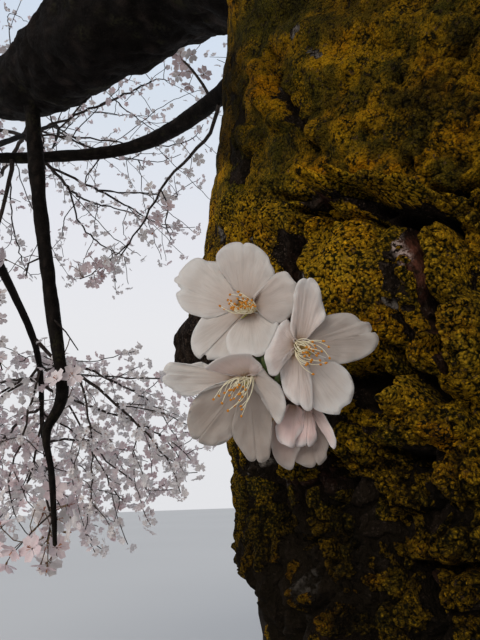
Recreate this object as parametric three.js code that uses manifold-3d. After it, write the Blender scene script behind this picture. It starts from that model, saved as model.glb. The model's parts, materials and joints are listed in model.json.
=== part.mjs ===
// A mature cherry tree in full white blossom, rooted in the ground.
// Millimetres, +Z up, origin at the middle of the flat cut under the trunk, ground level at z = 0.
// The trunk, its burl and each limb are tapered solids; each mass of blossom is one closed, uneven solid.
// A cluster of blooms on a short spur grows straight out of the trunk at chest height.
import * as THREE from "three";
import { mergeVertices } from "three/addons/utils/BufferGeometryUtils.js";
import Module from "manifold-3d";

const wasm = await Module();
wasm.setup();
const { Manifold, Mesh } = wasm;

// ---------- driving sizes (mm) ----------
const GAP = 0.4; // clearance between touching pieces
const TRUNK_LEAN = [-0.0146, 0.0071]; // sideways run of the trunk's middle for each mm of height
const TRUNK_COLUMNS = 28;
// [height, radius] of the trunk, from its root flare to the crotch where the boughs part
const TRUNK_PROFILE = [
  [0, 318], [110, 284], [330, 249], [760, 227], [1180, 220], [1420, 219],
  [1700, 224], [1920, 232], [2080, 232], [2220, 205], [2330, 140], [2380, 62],
];
const FLARE = { lobes: 5, depth: 0.16, height: 260, turn: 0.7 }; // root buttresses
const BURL = { angle: -2.78, z: 1414, reach: 30, wide: 60, tall: 58 }; // swelling that the spur grows from

// Main boughs: name, start height on the trunk's middle, start heading and climb (deg),
// where it ends, end climb (deg), radius at start and end
const BOUGHS = [
  ["bough_centre", 2040, 205, 82, [-60, 60, 5750], 80, 118, 46],
  ["bough_right", 2000, -14, 47, [2900, -380, 3900], 16, 122, 40],
  ["bough_back", 2010, 74, 50, [880, 2900, 4080], 18, 108, 38],
  ["bough_side_left", 2060, 196, 46, [-3050, -850, 3900], 14, 106, 38],
  ["bough_front_left", 1960, 238, 44, [-1400, -2700, 3880], 14, 110, 38],
  ["bough_front_right", 2080, -58, 46, [1800, -2450, 3880], 14, 104, 36],
  ["bough_back_right", 2110, 30, 52, [2250, 1750, 4080], 20, 96, 34],
];
// Forks: name, parent limb, share along the parent, heading, climb, end, end climb, radii
const FORKS = [
  ["fork_top_right", "bough_right", 0.3, 20, 68, [1300, 480, 5150], 60, 70, 32],
  ["fork_top_left", "bough_side_left", 0.3, 170, 66, [-1300, -180, 5200], 60, 66, 32],
  ["fork_top_front", "bough_front_right", 0.3, -75, 64, [200, -1330, 5100], 60, 64, 30],
];
// Limbs with a course of their own: the low bough over the blooms, the slender limb behind it,
// and the pendulous branch. Each is a smooth run through a few stations, with its radii.
const COURSES = {
  bough_left: {
    stations: [[-60, 50, 1985], [-268, 219, 2062], [-423, 308, 2046], [-542, 405, 2070], [-676, 501, 2120],
      [-1080, 760, 2420], [-1750, 1060, 3010], [-2800, 1430, 3760]],
    radii: [104, 84, 75, 66, 54, 50, 44, 34],
  },
  limb_behind: {
    stations: [[-40, 110, 1900], [-140, 330, 2090], [-248, 590, 2176], [-512, 874, 2262], [-902, 954, 2304],
      [-1180, 1350, 2640], [-1320, 2250, 3500]],
    radii: [34, 25, 21, 17, 14, 13, 11],
  },
  branch_hanging: {
    stations: [[-584, 439, 2036], [-560, 461, 1845], [-527, 476, 1653], [-504, 486, 1523], [-521, 482, 1462],
      [-509, 485, 1400], [-498, 489, 1308]],
    radii: [14, 12, 10.5, 9, 6, 4.5, 3],
  },
};
// Drooping branches: name, parent, share along it, heading, climb, end, end climb, radii
const DROOPS = [
  ["droop_back_left", "bough_left", 0.66, 112, 8, [-1290, 2450, 1800], -46, 26, 12],
  ["droop_right", "bough_right", 0.55, -40, 4, [3300, -1380, 3100], -30, 24, 12],
  ["droop_left", "bough_side_left", 0.55, 172, 4, [-3500, 380, 3120], -30, 24, 12],
  ["droop_front", "bough_front_left", 0.5, -70, 4, [250, -3400, 3160], -30, 24, 12],
  ["droop_back", "bough_back", 0.55, 62, 4, [1820, 3350, 3180], -30, 24, 12],
];
// Masses of blossom: name, middle, half sizes, heading of the long side (deg), unevenness
const MASSES = [
  ["mass_top", [-40, 80, 5990], [1450, 1340, 960], 15, 0.1],
  ["mass_top_right", [1480, 560, 5300], [1330, 1280, 940], 40, 0.11],
  ["mass_top_left", [-1480, -140, 5360], [1340, 1280, 950], -20, 0.11],
  ["mass_top_front", [240, -1480, 5240], [1400, 1240, 940], 5, 0.11],
  ["mass_right", [3150, -420, 4130], [1400, 1500, 1000], 10, 0.12],
  ["mass_front_right", [1950, -2620, 4060], [1500, 1340, 960], -35, 0.12],
  ["mass_front_left", [-1380, -2880, 4080], [1540, 1300, 960], 18, 0.12],
  ["mass_side_left", [-3180, -980, 4120], [1400, 1500, 1000], -12, 0.12],
  ["mass_left", [-3020, 1560, 4000], [1340, 1300, 940], 25, 0.12],
  ["mass_back", [960, 3080, 4240], [1500, 1320, 980], 8, 0.12],
  ["mass_back_right", [2480, 1860, 4280], [1380, 1300, 960], 45, 0.12],
  ["mass_back_left", [-1420, 2680, 3640], [1200, 1080, 1180], 30, 0.13],
  ["mass_low_back_left", [-1260, 2760, 1640], [900, 820, 600], 20, 0.14],
  ["mass_low_right", [3560, -1480, 3020], [760, 860, 640], 15, 0.14],
  ["mass_low_left", [-3720, 420, 3040], [740, 900, 640], -10, 0.14],
  ["mass_low_front", [330, -3620, 3080], [980, 720, 620], 10, 0.14],
  ["mass_low_back", [1940, 3560, 3100], [960, 720, 620], -15, 0.14],
];
// Blooms on the trunk: name, middle, the way it faces, radius, depth of its cup
const BLOOMS = [
  ["bloom_upper", [-229.8, -147.5, 1415.6], [-0.12, -1.0, 0.16], 16.6, 6],
  ["bloom_right", [-209.6, -147.2, 1399.2], [0.34, -1.0, 0.02], 15.6, 6],
  ["bloom_lower_left", [-231.6, -144.5, 1390.0], [-0.2, -1.0, -0.3], 15.6, 6],
  ["bloom_half_open", [-212.8, -131.0, 1381.6], [0.1, -0.5, -1.0], 9.5, 17],
];
const SPUR = { from: [-219, -66, 1410], to: [-220.5, -117, 1401.5], radii: [7.5, 4.2] };

const COLOURS = {
  bark: 0x4a3a2a, bark_dark: 0x2c2420, blossom: 0xf0e8ea, petal: 0xf6eef0, spur: 0x4b3626,
};

// ---------- helpers ----------
const rad = (d) => (d * Math.PI) / 180;
const V = (a) => new THREE.Vector3(...a);
const lerp = (a, b, t) => a + (b - a) * t;

// A smooth value through a table of [place, value]
function through(table, x) {
  const n = table.length;
  if (x <= table[0][0]) return table[0][1];
  for (let i = 0; i < n - 1; i++) {
    const [x0, y0] = table[i], [x1, y1] = table[i + 1];
    if (x > x1) continue;
    const t = (x - x0) / (x1 - x0);
    return lerp(y0, y1, t * t * (3 - 2 * t) * 0.5 + t * 0.5);
  }
  return table[n - 1][1];
}

// A uniform Catmull-Rom run through stations of any dimension
function course(stations, t) {
  const n = stations.length - 1, s = Math.min(t * n, n - 1e-9), i = Math.floor(s), f = s - i;
  const at = (k) => stations[Math.max(0, Math.min(n, k))];
  const [a, b, c, d] = [at(i - 1), at(i), at(i + 1), at(i + 2)];
  return b.map((_, k) => 0.5 * (2 * b[k] + (c[k] - a[k]) * f + (2 * a[k] - 5 * b[k] + 4 * c[k] - d[k]) * f * f
    + (3 * b[k] - a[k] - 3 * c[k] + d[k]) * f * f * f));
}

// A solid from rings of points (each the same count), closed by flat fans
function loft(rings) {
  const m = rings[0].length, pos = [], idx = [];
  rings.forEach((r) => r.forEach((p) => pos.push(p.x, p.y, p.z)));
  for (let j = 0; j < rings.length - 1; j++)
    for (let i = 0; i < m; i++) {
      const a = j * m + i, b = j * m + ((i + 1) % m), c = a + m, d = b + m;
      idx.push(a, b, d, a, d, c);
    }
  const fan = (ring, base, flip) => {
    const c = ring.reduce((s, p) => s.add(p), new THREE.Vector3()).multiplyScalar(1 / m);
    const k = pos.length / 3;
    pos.push(c.x, c.y, c.z);
    for (let i = 0; i < m; i++) {
      const a = base + i, b = base + ((i + 1) % m);
      flip ? idx.push(k, b, a) : idx.push(k, a, b);
    }
  };
  fan(rings[0], 0, true);
  fan(rings[rings.length - 1], (rings.length - 1) * m, false);
  return solid(pos, idx);
}

function solid(pos, idx) {
  const made = new Manifold(new Mesh({ numProp: 3, vertProperties: new Float32Array(pos), triVerts: new Uint32Array(idx) }));
  return made.volume() < 0 ? new Manifold(new Mesh({ numProp: 3, vertProperties: new Float32Array(pos),
    triVerts: new Uint32Array(idx.flatMap((_, i) => (i % 3 === 0 ? [idx[i], idx[i + 2], idx[i + 1]] : []))) })) : made;
}

function fromGeometry(g, matrix) {
  const bare = g.clone();
  bare.deleteAttribute("normal");
  bare.deleteAttribute("uv");
  const m = mergeVertices(bare.applyMatrix4(matrix), 1e-3);
  return solid([...m.attributes.position.array], [...m.index.array]);
}

// ---------- trunk ----------
const trunkMiddle = (z) => [TRUNK_LEAN[0] * z, TRUNK_LEAN[1] * z, z];
function trunkRadius(a, z) {
  const flare = Math.exp(-z / FLARE.height);
  const lobes = FLARE.depth * flare * Math.cos(FLARE.lobes * (a - FLARE.turn) + 0.6 * Math.sin(2 * a));
  const uneven = 0.018 * Math.sin(2 * a + 0.4 + z * 0.0011) + 0.012 * Math.sin(3 * a - z * 0.0019);
  return through(TRUNK_PROFILE, z) * (1 + lobes + uneven * Math.min(1, z / 400));
}
function trunkSolid(grow) {
  const heights = [0, 60, 140, 260, 420, 650, 900, 1150, 1300, 1400, 1500, 1640, 1800, 1940, 2060, 2160, 2250, 2320, 2380];
  return loft(heights.map((z) => {
    const [cx, cy] = trunkMiddle(z);
    return Array.from({ length: TRUNK_COLUMNS }, (_, i) => {
      const a = (2 * Math.PI * i) / TRUNK_COLUMNS, r = trunkRadius(a, z) + grow;
      return new THREE.Vector3(cx + r * Math.cos(a), cy + r * Math.sin(a), z + (z > 2300 ? grow : 0));
    });
  }));
}

// ---------- limbs ----------
// The run of a limb: a cubic from its start heading to its end climb, with a slight crook
function bend(from, heading, climb, to, endClimb) {
  const a = V(from), d = V(to), len = a.distanceTo(d);
  const out = new THREE.Vector3(Math.cos(rad(heading)) * Math.cos(rad(climb)), Math.sin(rad(heading)) * Math.cos(rad(climb)), Math.sin(rad(climb)));
  const flat = new THREE.Vector3(d.x - a.x, d.y - a.y, 0).normalize();
  const end = flat.clone().multiplyScalar(Math.cos(rad(endClimb))).add(new THREE.Vector3(0, 0, Math.sin(rad(endClimb))));
  const b = a.clone().addScaledVector(out, len * 0.36), c = d.clone().addScaledVector(end, -len * 0.34);
  const side = new THREE.Vector3(-flat.y, flat.x, 0);
  return (t) => {
    const u = 1 - t, p = new THREE.Vector3();
    p.addScaledVector(a, u * u * u).addScaledVector(b, 3 * u * u * t).addScaledVector(c, 3 * u * t * t).addScaledVector(d, t * t * t);
    const crook = len * 0.02 * Math.sin(Math.PI * t);
    p.addScaledVector(side, crook * Math.sin(7.1 * t + heading)).add(new THREE.Vector3(0, 0, crook * Math.cos(5.3 * t + heading)));
    return p;
  };
}
const runs = {};
function tube(run, radius, steps, sides, grow) {
  const rings = [];
  let up = new THREE.Vector3(0, 0, 1);
  for (let k = 0; k <= steps; k++) {
    const t = k / steps, p = run(t), q = run(Math.min(1, t + 0.004)), o = run(Math.max(0, t - 0.004));
    const dir = q.sub(o).normalize();
    if (k === 0 && Math.abs(dir.z) > 0.8) up = new THREE.Vector3(1, 0, 0);
    const x = up.clone().addScaledVector(dir, -up.dot(dir)).normalize(), y = new THREE.Vector3().crossVectors(dir, x);
    up = x;
    const r = radius(t) + grow;
    rings.push(Array.from({ length: sides }, (_, i) => {
      const a = (2 * Math.PI * i) / sides;
      return p.clone().addScaledVector(x, r * Math.cos(a)).addScaledVector(y, r * Math.sin(a));
    }));
  }
  return loft(rings);
}
function addLimb(name, run, radius, steps = 9, sides = 7) {
  runs[name] = { run, radius, build: (grow) => tube(run, radius, steps, sides, grow) };
}
const taper = (r0, r1) => (t) => lerp(r0, r1, Math.pow(t, 0.75));
for (const [name, z, heading, climb, to, endClimb, r0, r1] of BOUGHS) {
  const at = trunkMiddle(z);
  addLimb(name, bend(at, heading, climb, to, endClimb), taper(r0, r1));
}
for (const [name, c] of Object.entries(COURSES)) {
  const rs = c.radii.map((r) => [r]);
  addLimb(name, (t) => V(course(c.stations, t)), (t) => course(rs, t)[0], name === "branch_hanging" ? 12 : 16);
}
for (const [name, parent, share, heading, climb, to, endClimb, r0, r1] of [...FORKS, ...DROOPS])
  addLimb(name, bend(runs[parent].run(share).toArray(), heading, climb, to, endClimb), taper(r0, r1), 8, 6);

// ---------- masses of blossom ----------
// Unevenness as a sum of a few waves over the direction, different for each mass
function lumps(d, k) {
  return (Math.sin(3.1 * d.x + 1.7 * k) * Math.sin(2.7 * d.y - 0.9 * k) + 0.8 * Math.sin(4.3 * d.z + 2.3 * k + 2 * d.x)
    + 0.6 * Math.sin(5.9 * d.y + 3.1 * d.x + 0.7 * k)) / 1.6;
}
function massSolid([, mid, half, heading, uneven], k, grow) {
  const g = new THREE.IcosahedronGeometry(1, half[0] > 1450 ? 3 : 2), p = g.attributes.position, v = new THREE.Vector3();
  for (let i = 0; i < p.count; i++) {
    v.fromBufferAttribute(p, i).normalize();
    const s = 1 + uneven * lumps(v, k), under = v.z < 0 ? 0.88 : 1;
    p.setXYZ(i, v.x * s * half[0] + v.x * grow, v.y * s * half[1] + v.y * grow, v.z * s * half[2] * under + v.z * grow);
  }
  const m = new THREE.Matrix4().makeRotationZ(rad(heading)).setPosition(...mid);
  return fromGeometry(g, m);
}

// ---------- blooms ----------
function dish(mid, face, r, depth, grow) {
  const t = 1.6 + grow;
  const prof = [[0, -t], [r * 0.35 + grow, depth * 0.22 - t], [r + grow, depth - t * 0.5], [r + grow, depth + t * 0.5], [r * 0.35, depth * 0.22 + t], [0, t]]
    .map(([x, y]) => new THREE.Vector2(x, y));
  const g = new THREE.LatheGeometry(prof, 10);
  const f = V(face).normalize(), m = new THREE.Matrix4().makeRotationFromQuaternion(
    new THREE.Quaternion().setFromUnitVectors(new THREE.Vector3(0, 1, 0), f));
  const at = V(mid).addScaledVector(f, -depth * 0.55);
  return fromGeometry(g, m.setPosition(at));
}

// ---------- assembly ----------
const group = new THREE.Group();
group.name = "tree";
const placed = []; // { name, cutter, box }
function overlaps(a, b) {
  const p = a.boundingBox(), q = b.boundingBox();
  return [0, 1, 2].every((i) => p.min[i] < q.max[i] && q.min[i] < p.max[i]);
}
function place(name, made, cutter, material, keep = "largest") {
  let s = made;
  for (const o of placed) if (overlaps(s, o.cutter)) s = s.subtract(o.cutter);
  const bodies = s.decompose().sort((a, b) => b.volume() - a.volume());
  s = bodies[0];
  placed.push({ name, cutter });
  const out = s.getMesh(), n = out.numProp, pos = new Float32Array(out.numVert * 3);
  for (let i = 0; i < out.numVert; i++) for (let k = 0; k < 3; k++) pos[i * 3 + k] = out.vertProperties[i * n + k];
  const g = new THREE.BufferGeometry().setAttribute("position", new THREE.BufferAttribute(pos, 3));
  g.setIndex(new THREE.BufferAttribute(new Uint32Array(out.triVerts), 1));
  g.computeVertexNormals();
  const mesh = new THREE.Mesh(g, material);
  mesh.name = name;
  group.add(mesh);
}
const paint = (c, rough) => new THREE.MeshStandardMaterial({ color: c, roughness: rough, metalness: 0 });
const bark = paint(COLOURS.bark, 0.95), dark = paint(COLOURS.bark_dark, 0.95);
const blossom = paint(COLOURS.blossom, 0.8), petal = paint(COLOURS.petal, 0.6), twig = paint(COLOURS.spur, 0.8);

place("trunk", trunkSolid(0), trunkSolid(GAP), bark);
MASSES.forEach((m, k) => place(m[0], massSolid(m, k + 1, 0), massSolid(m, k + 1, GAP), blossom));
for (const [name, l] of Object.entries(runs)) place(name, l.build(0), l.build(GAP), dark);

{
  const z = BURL.z, a = BURL.angle, rr = trunkRadius(a, z), [cx, cy] = trunkMiddle(z);
  const make = (grow) => {
    const g = new THREE.IcosahedronGeometry(1, 2);
    const m = new THREE.Matrix4().makeRotationZ(a).multiply(new THREE.Matrix4().makeScale(BURL.reach + 12 + grow, BURL.wide / 1.6 + grow, BURL.tall / 1.6 + grow));
    return fromGeometry(g, m.setPosition(cx + (rr - 12) * Math.cos(a), cy + (rr - 12) * Math.sin(a), z));
  };
  place("trunk_burl", make(0), make(GAP), bark);
}
const spurRun = (t) => V(SPUR.from).lerp(V(SPUR.to), t);
const spurTube = (grow) => tube(spurRun, (t) => lerp(SPUR.radii[0], SPUR.radii[1], t), 4, 8, grow);
place("bloom_spur", spurTube(0), spurTube(GAP), twig);
for (const [name, mid, face, r, depth] of BLOOMS) place(name, dish(mid, face, r, depth, 0), dish(mid, face, r, depth, GAP), petal);

export default group;
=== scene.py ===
import itertools
import json
import math

import bpy
import numpy as np
from mathutils import Matrix

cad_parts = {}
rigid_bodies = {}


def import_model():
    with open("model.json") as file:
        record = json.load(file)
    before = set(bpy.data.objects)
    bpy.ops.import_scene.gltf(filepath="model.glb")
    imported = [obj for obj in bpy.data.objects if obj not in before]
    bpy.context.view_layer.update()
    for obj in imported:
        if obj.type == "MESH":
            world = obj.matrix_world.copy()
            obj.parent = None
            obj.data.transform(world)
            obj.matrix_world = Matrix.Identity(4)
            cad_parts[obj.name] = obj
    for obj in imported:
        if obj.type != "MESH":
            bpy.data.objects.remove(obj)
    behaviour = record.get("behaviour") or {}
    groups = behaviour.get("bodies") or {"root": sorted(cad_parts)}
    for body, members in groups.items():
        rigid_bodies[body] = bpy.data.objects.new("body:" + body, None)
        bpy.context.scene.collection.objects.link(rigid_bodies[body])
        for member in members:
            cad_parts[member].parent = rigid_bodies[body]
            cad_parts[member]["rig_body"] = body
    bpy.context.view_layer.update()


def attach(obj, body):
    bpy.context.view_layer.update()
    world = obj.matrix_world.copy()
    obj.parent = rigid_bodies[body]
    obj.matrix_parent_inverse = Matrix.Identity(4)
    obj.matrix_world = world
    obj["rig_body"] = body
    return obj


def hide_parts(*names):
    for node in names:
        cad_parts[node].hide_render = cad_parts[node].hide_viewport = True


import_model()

scene = bpy.context.scene
TAU = 2 * math.pi

# ------------------------------------------------------------------ camera
# Close by the trunk at chest height, looking a little up past its left side.
EYE = np.array([-0.23, -0.295, 1.36])
PITCH, ROLL, FOCAL = math.radians(19.0), math.radians(1.9), 520.0  # focal length in columns of a 480 by 640 picture
FORWARD = np.array([0.0, math.cos(PITCH), math.sin(PITCH)])
_up = np.array([0.0, -math.sin(PITCH), math.cos(PITCH)])
RIGHT = math.cos(ROLL) * np.array([1.0, 0, 0]) - math.sin(ROLL) * _up
UP = math.sin(ROLL) * np.array([1.0, 0, 0]) + math.cos(ROLL) * _up

cam = bpy.data.cameras.new("view")
cam.sensor_width, cam.lens = 36.0, 36.0 * FOCAL / 640
cam.clip_start, cam.clip_end = 0.01, 200
cam_ob = bpy.data.objects.new("view", cam)
scene.collection.objects.link(cam_ob)
cam_ob.matrix_world = Matrix([[RIGHT[i], UP[i], -FORWARD[i], EYE[i]] for i in range(3)] + [[0, 0, 0, 1]])
scene.camera = cam_ob


def project(p):
    """Column and row in the picture, and depth, of points in the row frame."""
    q = np.asarray(p) - EYE
    z = q @ FORWARD
    return 240 + FOCAL * (q @ RIGHT) / z, 320 - FOCAL * (q @ UP) / z, z


def unproject(col, row, depth):
    col, row, depth = (np.asarray(v, float)[..., None] for v in (col, row, depth))
    return EYE + ((col - 240) * RIGHT + (320 - row) * UP + FOCAL * FORWARD) * (depth / FOCAL)


# ------------------------------------------------------------------ noise
def _hash(x, y, z, seed):
    with np.errstate(over="ignore"):
        h = (x.astype(np.uint32) * np.uint32(73856093)) ^ (y.astype(np.uint32) * np.uint32(19349663)) \
            ^ (z.astype(np.uint32) * np.uint32(83492791)) ^ np.uint32((seed * 2654435761) & 0xFFFFFFFF)
        h ^= h >> np.uint32(15)
        h *= np.uint32(2246822519)
        h ^= h >> np.uint32(13)
        h *= np.uint32(3266489917)
        return h ^ (h >> np.uint32(16))


_g = np.array([v for v in itertools.product((-1, 0, 1), repeat=3) if sum(map(abs, v)) == 2] + [(1, 1, 0), (-1, 1, 0), (0, -1, 1), (0, -1, -1)], np.float32)


def noise(p, seed=0):
    """Smooth noise, about -0.8 to 0.8, one feature to a unit."""
    p = np.asarray(p, np.float32)
    i = np.floor(p).astype(np.int64)
    f = p - i
    u = f * f * f * (f * (f * 6 - 15) + 10)
    out = np.zeros(len(p), np.float32)
    for dx, dy, dz in itertools.product((0, 1), repeat=3):
        g = _g[_hash(i[:, 0] + dx, i[:, 1] + dy, i[:, 2] + dz, seed) & np.uint32(15)]
        w = (u[:, 0] if dx else 1 - u[:, 0]) * (u[:, 1] if dy else 1 - u[:, 1]) * (u[:, 2] if dz else 1 - u[:, 2])
        out += w * (g[:, 0] * (f[:, 0] - dx) + g[:, 1] * (f[:, 1] - dy) + g[:, 2] * (f[:, 2] - dz))
    return out


def layered(p, octaves=3, gain=0.5, seed=0):
    out, a = 0, 1.0
    for k in range(octaves):
        out = out + a * noise(np.asarray(p) * 2.03 ** k, seed + 31 * k)
        a *= gain
    return out


def cells(p, seed=0):
    """Distances to the nearest and second nearest of scattered points, and the nearest one's own number from 0 to 1."""
    p = np.asarray(p, np.float32)
    i = np.floor(p).astype(np.int64)
    f1 = np.full(len(p), 9.0, np.float32)
    f2, own = f1.copy(), np.zeros(len(p), np.uint32)
    for dx, dy, dz in itertools.product((-1, 0, 1), repeat=3):
        h = _hash(i[:, 0] + dx, i[:, 1] + dy, i[:, 2] + dz, seed)
        d = np.sqrt((i[:, 0] + dx + (h & np.uint32(1023)) / 1023 - p[:, 0]) ** 2
                    + (i[:, 1] + dy + ((h >> np.uint32(10)) & np.uint32(1023)) / 1023 - p[:, 1]) ** 2
                    + (i[:, 2] + dz + ((h >> np.uint32(20)) & np.uint32(1023)) / 1023 - p[:, 2]) ** 2).astype(np.float32)
        near = d < f1
        f2 = np.where(near, f1, np.minimum(f2, d))
        own = np.where(near, h, own)
        f1 = np.minimum(f1, d)
    return f1, f2, (own >> np.uint32(8)) / float(1 << 24)


def smooth(a, b, x):
    t = np.clip((np.asarray(x, float) - a) / (b - a), 0, 1)
    return t * t * (3 - 2 * t)


# ------------------------------------------------------------------ meshes
def make_mesh(name, verts, faces, attributes=None, smooth_shade=True, material=None, parts=None):
    """A mesh object from arrays. faces is (n, 3) or (n, 4), or a list of such arrays."""
    faces = [np.asarray(f, np.int32) for f in (faces if isinstance(faces, list) else [faces]) if len(f)]
    me = bpy.data.meshes.new(name)
    verts = np.ascontiguousarray(verts, np.float32)
    me.vertices.add(len(verts))
    me.vertices.foreach_set("co", verts.ravel())
    loops = np.concatenate([f.ravel() for f in faces])
    sizes = np.concatenate([np.full(len(f), f.shape[1], np.int32) for f in faces])
    me.loops.add(len(loops))
    me.loops.foreach_set("vertex_index", loops)
    me.polygons.add(len(sizes))
    me.polygons.foreach_set("loop_start", np.concatenate([[0], np.cumsum(sizes)[:-1]]).astype(np.int32))
    me.polygons.foreach_set("use_smooth", np.full(len(sizes), bool(smooth_shade)))
    for key, values in (attributes or {}).items():
        values = np.ascontiguousarray(values, np.float32)
        kind = "FLOAT" if values.ndim == 1 else "FLOAT_VECTOR"
        data = me.attributes.new(key, kind, "POINT").data
        data.foreach_set("value" if kind == "FLOAT" else "vector", values.ravel())
    me.update(calc_edges=True)
    me.validate()
    ob = bpy.data.objects.new(name, me)
    scene.collection.objects.link(ob)
    if material is not None:
        me.materials.append(material)
    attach(ob, "root")
    return ob


def triangles(ob):
    return sum(len(p.vertices) - 2 for p in ob.data.polygons)


# ------------------------------------------------------------------ the trunk's form, as in the frame
LEAN = np.array([-0.0146, 0.0071])
PROFILE = np.array([[0, 318], [110, 284], [330, 249], [760, 227], [1180, 220], [1420, 219],
                    [1700, 224], [1920, 232], [2080, 232], [2220, 205], [2330, 140], [2380, 62]]) / 1000.0
FLARE_LOBES, FLARE_DEPTH, FLARE_HEIGHT, FLARE_TURN = 5, 0.16, 0.26, 0.7
BURL_ANGLE, BURL_Z = -2.78, 1.423


def through(table, x):
    x = np.asarray(x, float)
    i = np.clip(np.searchsorted(table[:, 0], x) - 1, 0, len(table) - 2)
    t = np.clip((x - table[i, 0]) / (table[i + 1, 0] - table[i, 0]), 0, 1)
    s = t * t * (3 - 2 * t) * 0.5 + t * 0.5
    return table[i, 1] + (table[i + 1, 1] - table[i, 1]) * s


def trunk_radius(a, z):
    flare = np.exp(-z / FLARE_HEIGHT)
    lobes = FLARE_DEPTH * flare * np.cos(FLARE_LOBES * (a - FLARE_TURN) + 0.6 * np.sin(2 * a))
    uneven = 0.018 * np.sin(2 * a + 0.4 + z * 1.1) + 0.012 * np.sin(3 * a - z * 1.9)
    return through(PROFILE, z) * (1 + lobes + uneven * np.minimum(1, z / 0.4))


def trunk_point(a, z, out=0.0):
    r = trunk_radius(a, z) + out
    return np.stack([LEAN[0] * z + r * np.cos(a), LEAN[1] * z + r * np.sin(a), z + 0 * r], -1)


# ------------------------------------------------------------------ a lattice round the trunk, finest where the camera is close
LATTICE_COLUMNS, LATTICE_ROWS, TRUNK_TOP, LEVELS = 104, 168, 2.38, 5


def too_coarse(a, z, size):
    p = trunk_point(a, z)
    q = p - EYE
    dist = np.linalg.norm(q, axis=-1)
    facing = -(np.stack([np.cos(a), np.sin(a), 0 * a], -1) * q).sum(-1) / dist
    col, row, depth = project(p)
    seen = (depth > 0.05) & (col > 150) & (col < 512) & (row > -40) & (row < 690) & (facing > -0.22)
    wide = FOCAL * size / np.maximum(dist, 0.05) * np.clip(facing + 0.15, 0.3, 1) ** 0.5
    limit = 2.1 + 1.15 * smooth(230, 150, row)
    for cx, cy, rx, ry in [(238, 300, 42, 40), (318, 350, 40, 46), (226, 402, 34, 40), (300, 432, 22, 26)]:  # behind the blooms
        limit = limit * (1 + 2.2 * smooth(1, 0.8, np.hypot((col - cx) / rx, (row - cy) / ry)))
    return seen & (wide > limit)


def trunk_lattice():
    """Corners (angle, height, cell size) and faces of a lattice whose cells halve towards the camera."""
    split, exist = [], np.ones((LATTICE_COLUMNS, LATTICE_ROWS), bool)
    for k in range(LEVELS):
        na, nz = exist.shape
        i, j = np.nonzero(exist)
        s = np.zeros(exist.shape, bool)
        s[i, j] = too_coarse((i + 0.5) * TAU / na, (j + 0.5) * TRUNK_TOP / nz, TRUNK_TOP / nz)
        split.append(s)
        exist = np.repeat(np.repeat(s, 2, 0), 2, 1)
    for k in range(LEVELS - 1, 0, -1):  # neighbours differ by one halving at most
        s = split[k]
        near = s | np.roll(s, 1, 0) | np.roll(s, -1, 0)
        wide = near.copy()
        wide[:, 1:] |= near[:, :-1]
        wide[:, :-1] |= near[:, 1:]
        split[k - 1] |= wide.reshape(wide.shape[0] // 2, 2, wide.shape[1] // 2, 2).any((1, 3))
    unit = 2 ** (LEVELS + 1)
    around = LATTICE_COLUMNS * unit
    quads, fans = [], []
    exist = np.ones((LATTICE_COLUMNS, LATTICE_ROWS), bool)
    for k in range(LEVELS + 1):
        s = split[k] & exist if k < LEVELS else np.zeros_like(exist)
        i, j = np.nonzero(exist & ~s)
        w = unit >> k
        x0, y0 = i * w, j * w
        right = s[(i + 1) % exist.shape[0], j]
        left = s[i - 1, j]
        top = np.where(j + 1 < exist.shape[1], s[i, np.minimum(j + 1, exist.shape[1] - 1)], False)
        below = np.where(j > 0, s[i, np.maximum(j - 1, 0)], False)
        plain = ~(right | left | top | below)
        q = np.stack([x0, y0, x0 + w, y0, x0 + w, y0 + w, x0, y0 + w], -1)[plain].reshape(-1, 4, 2)
        quads.append(np.concatenate([q, np.full(q.shape[:2] + (1,), w)], -1))
        h = w // 2
        for n in np.nonzero(~plain)[0]:
            x, y = int(x0[n]), int(y0[n])
            ring = [(x, y)] + ([(x + h, y)] if below[n] else []) + [(x + w, y)] + ([(x + w, y + h)] if right[n] else []) \
                + [(x + w, y + w)] + ([(x + h, y + w)] if top[n] else []) + [(x, y + w)] + ([(x, y + h)] if left[n] else [])
            for m in range(len(ring)):
                fans.append([(x + h, y + h, w), ring[m] + (w,), ring[(m + 1) % len(ring)] + (w,)])
        exist = np.repeat(np.repeat(s, 2, 0), 2, 1)
    quads, fans = np.concatenate(quads), np.array(fans)
    corners = np.concatenate([quads.reshape(-1, 3), fans.reshape(-1, 3)])
    key = (corners[:, 0] % around) * 1000003 + corners[:, 1]
    unique, first, inverse = np.unique(key, return_index=True, return_inverse=True)
    inverse = inverse.ravel()
    size = np.zeros(len(unique))
    np.maximum.at(size, inverse, corners[:, 2])
    a = (corners[first, 0] % around) * TAU / around
    z = corners[first, 1] * TRUNK_TOP / (LATTICE_ROWS * unit)
    nq = quads.shape[0] * 4
    return a, z, size * TRUNK_TOP / (LATTICE_ROWS * unit), inverse[:nq].reshape(-1, 4), inverse[nq:].reshape(-1, 3)


# ------------------------------------------------------------------ bark relief
def spot(col, row, cx, cy, rx, ry, turn=0.0, edge=0.4):
    """1 inside an oval of the picture, falling to 0 at its rim."""
    c, s = math.cos(math.radians(turn)), math.sin(math.radians(turn))
    u, v = ((col - cx) * c + (row - cy) * s) / rx, (-(col - cx) * s + (row - cy) * c) / ry
    return smooth(1, 1 - edge, np.sqrt(u * u + v * v))


def dome(col, row, cx, cy, rx, ry, turn=0.0, power=0.5):
    c, s = math.cos(math.radians(turn)), math.sin(math.radians(turn))
    u, v = ((col - cx) * c + (row - cy) * s) / rx, (-(col - cx) * s + (row - cy) * c) / ry
    return np.clip(1 - u * u - v * v, 0, 1) ** power


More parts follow.
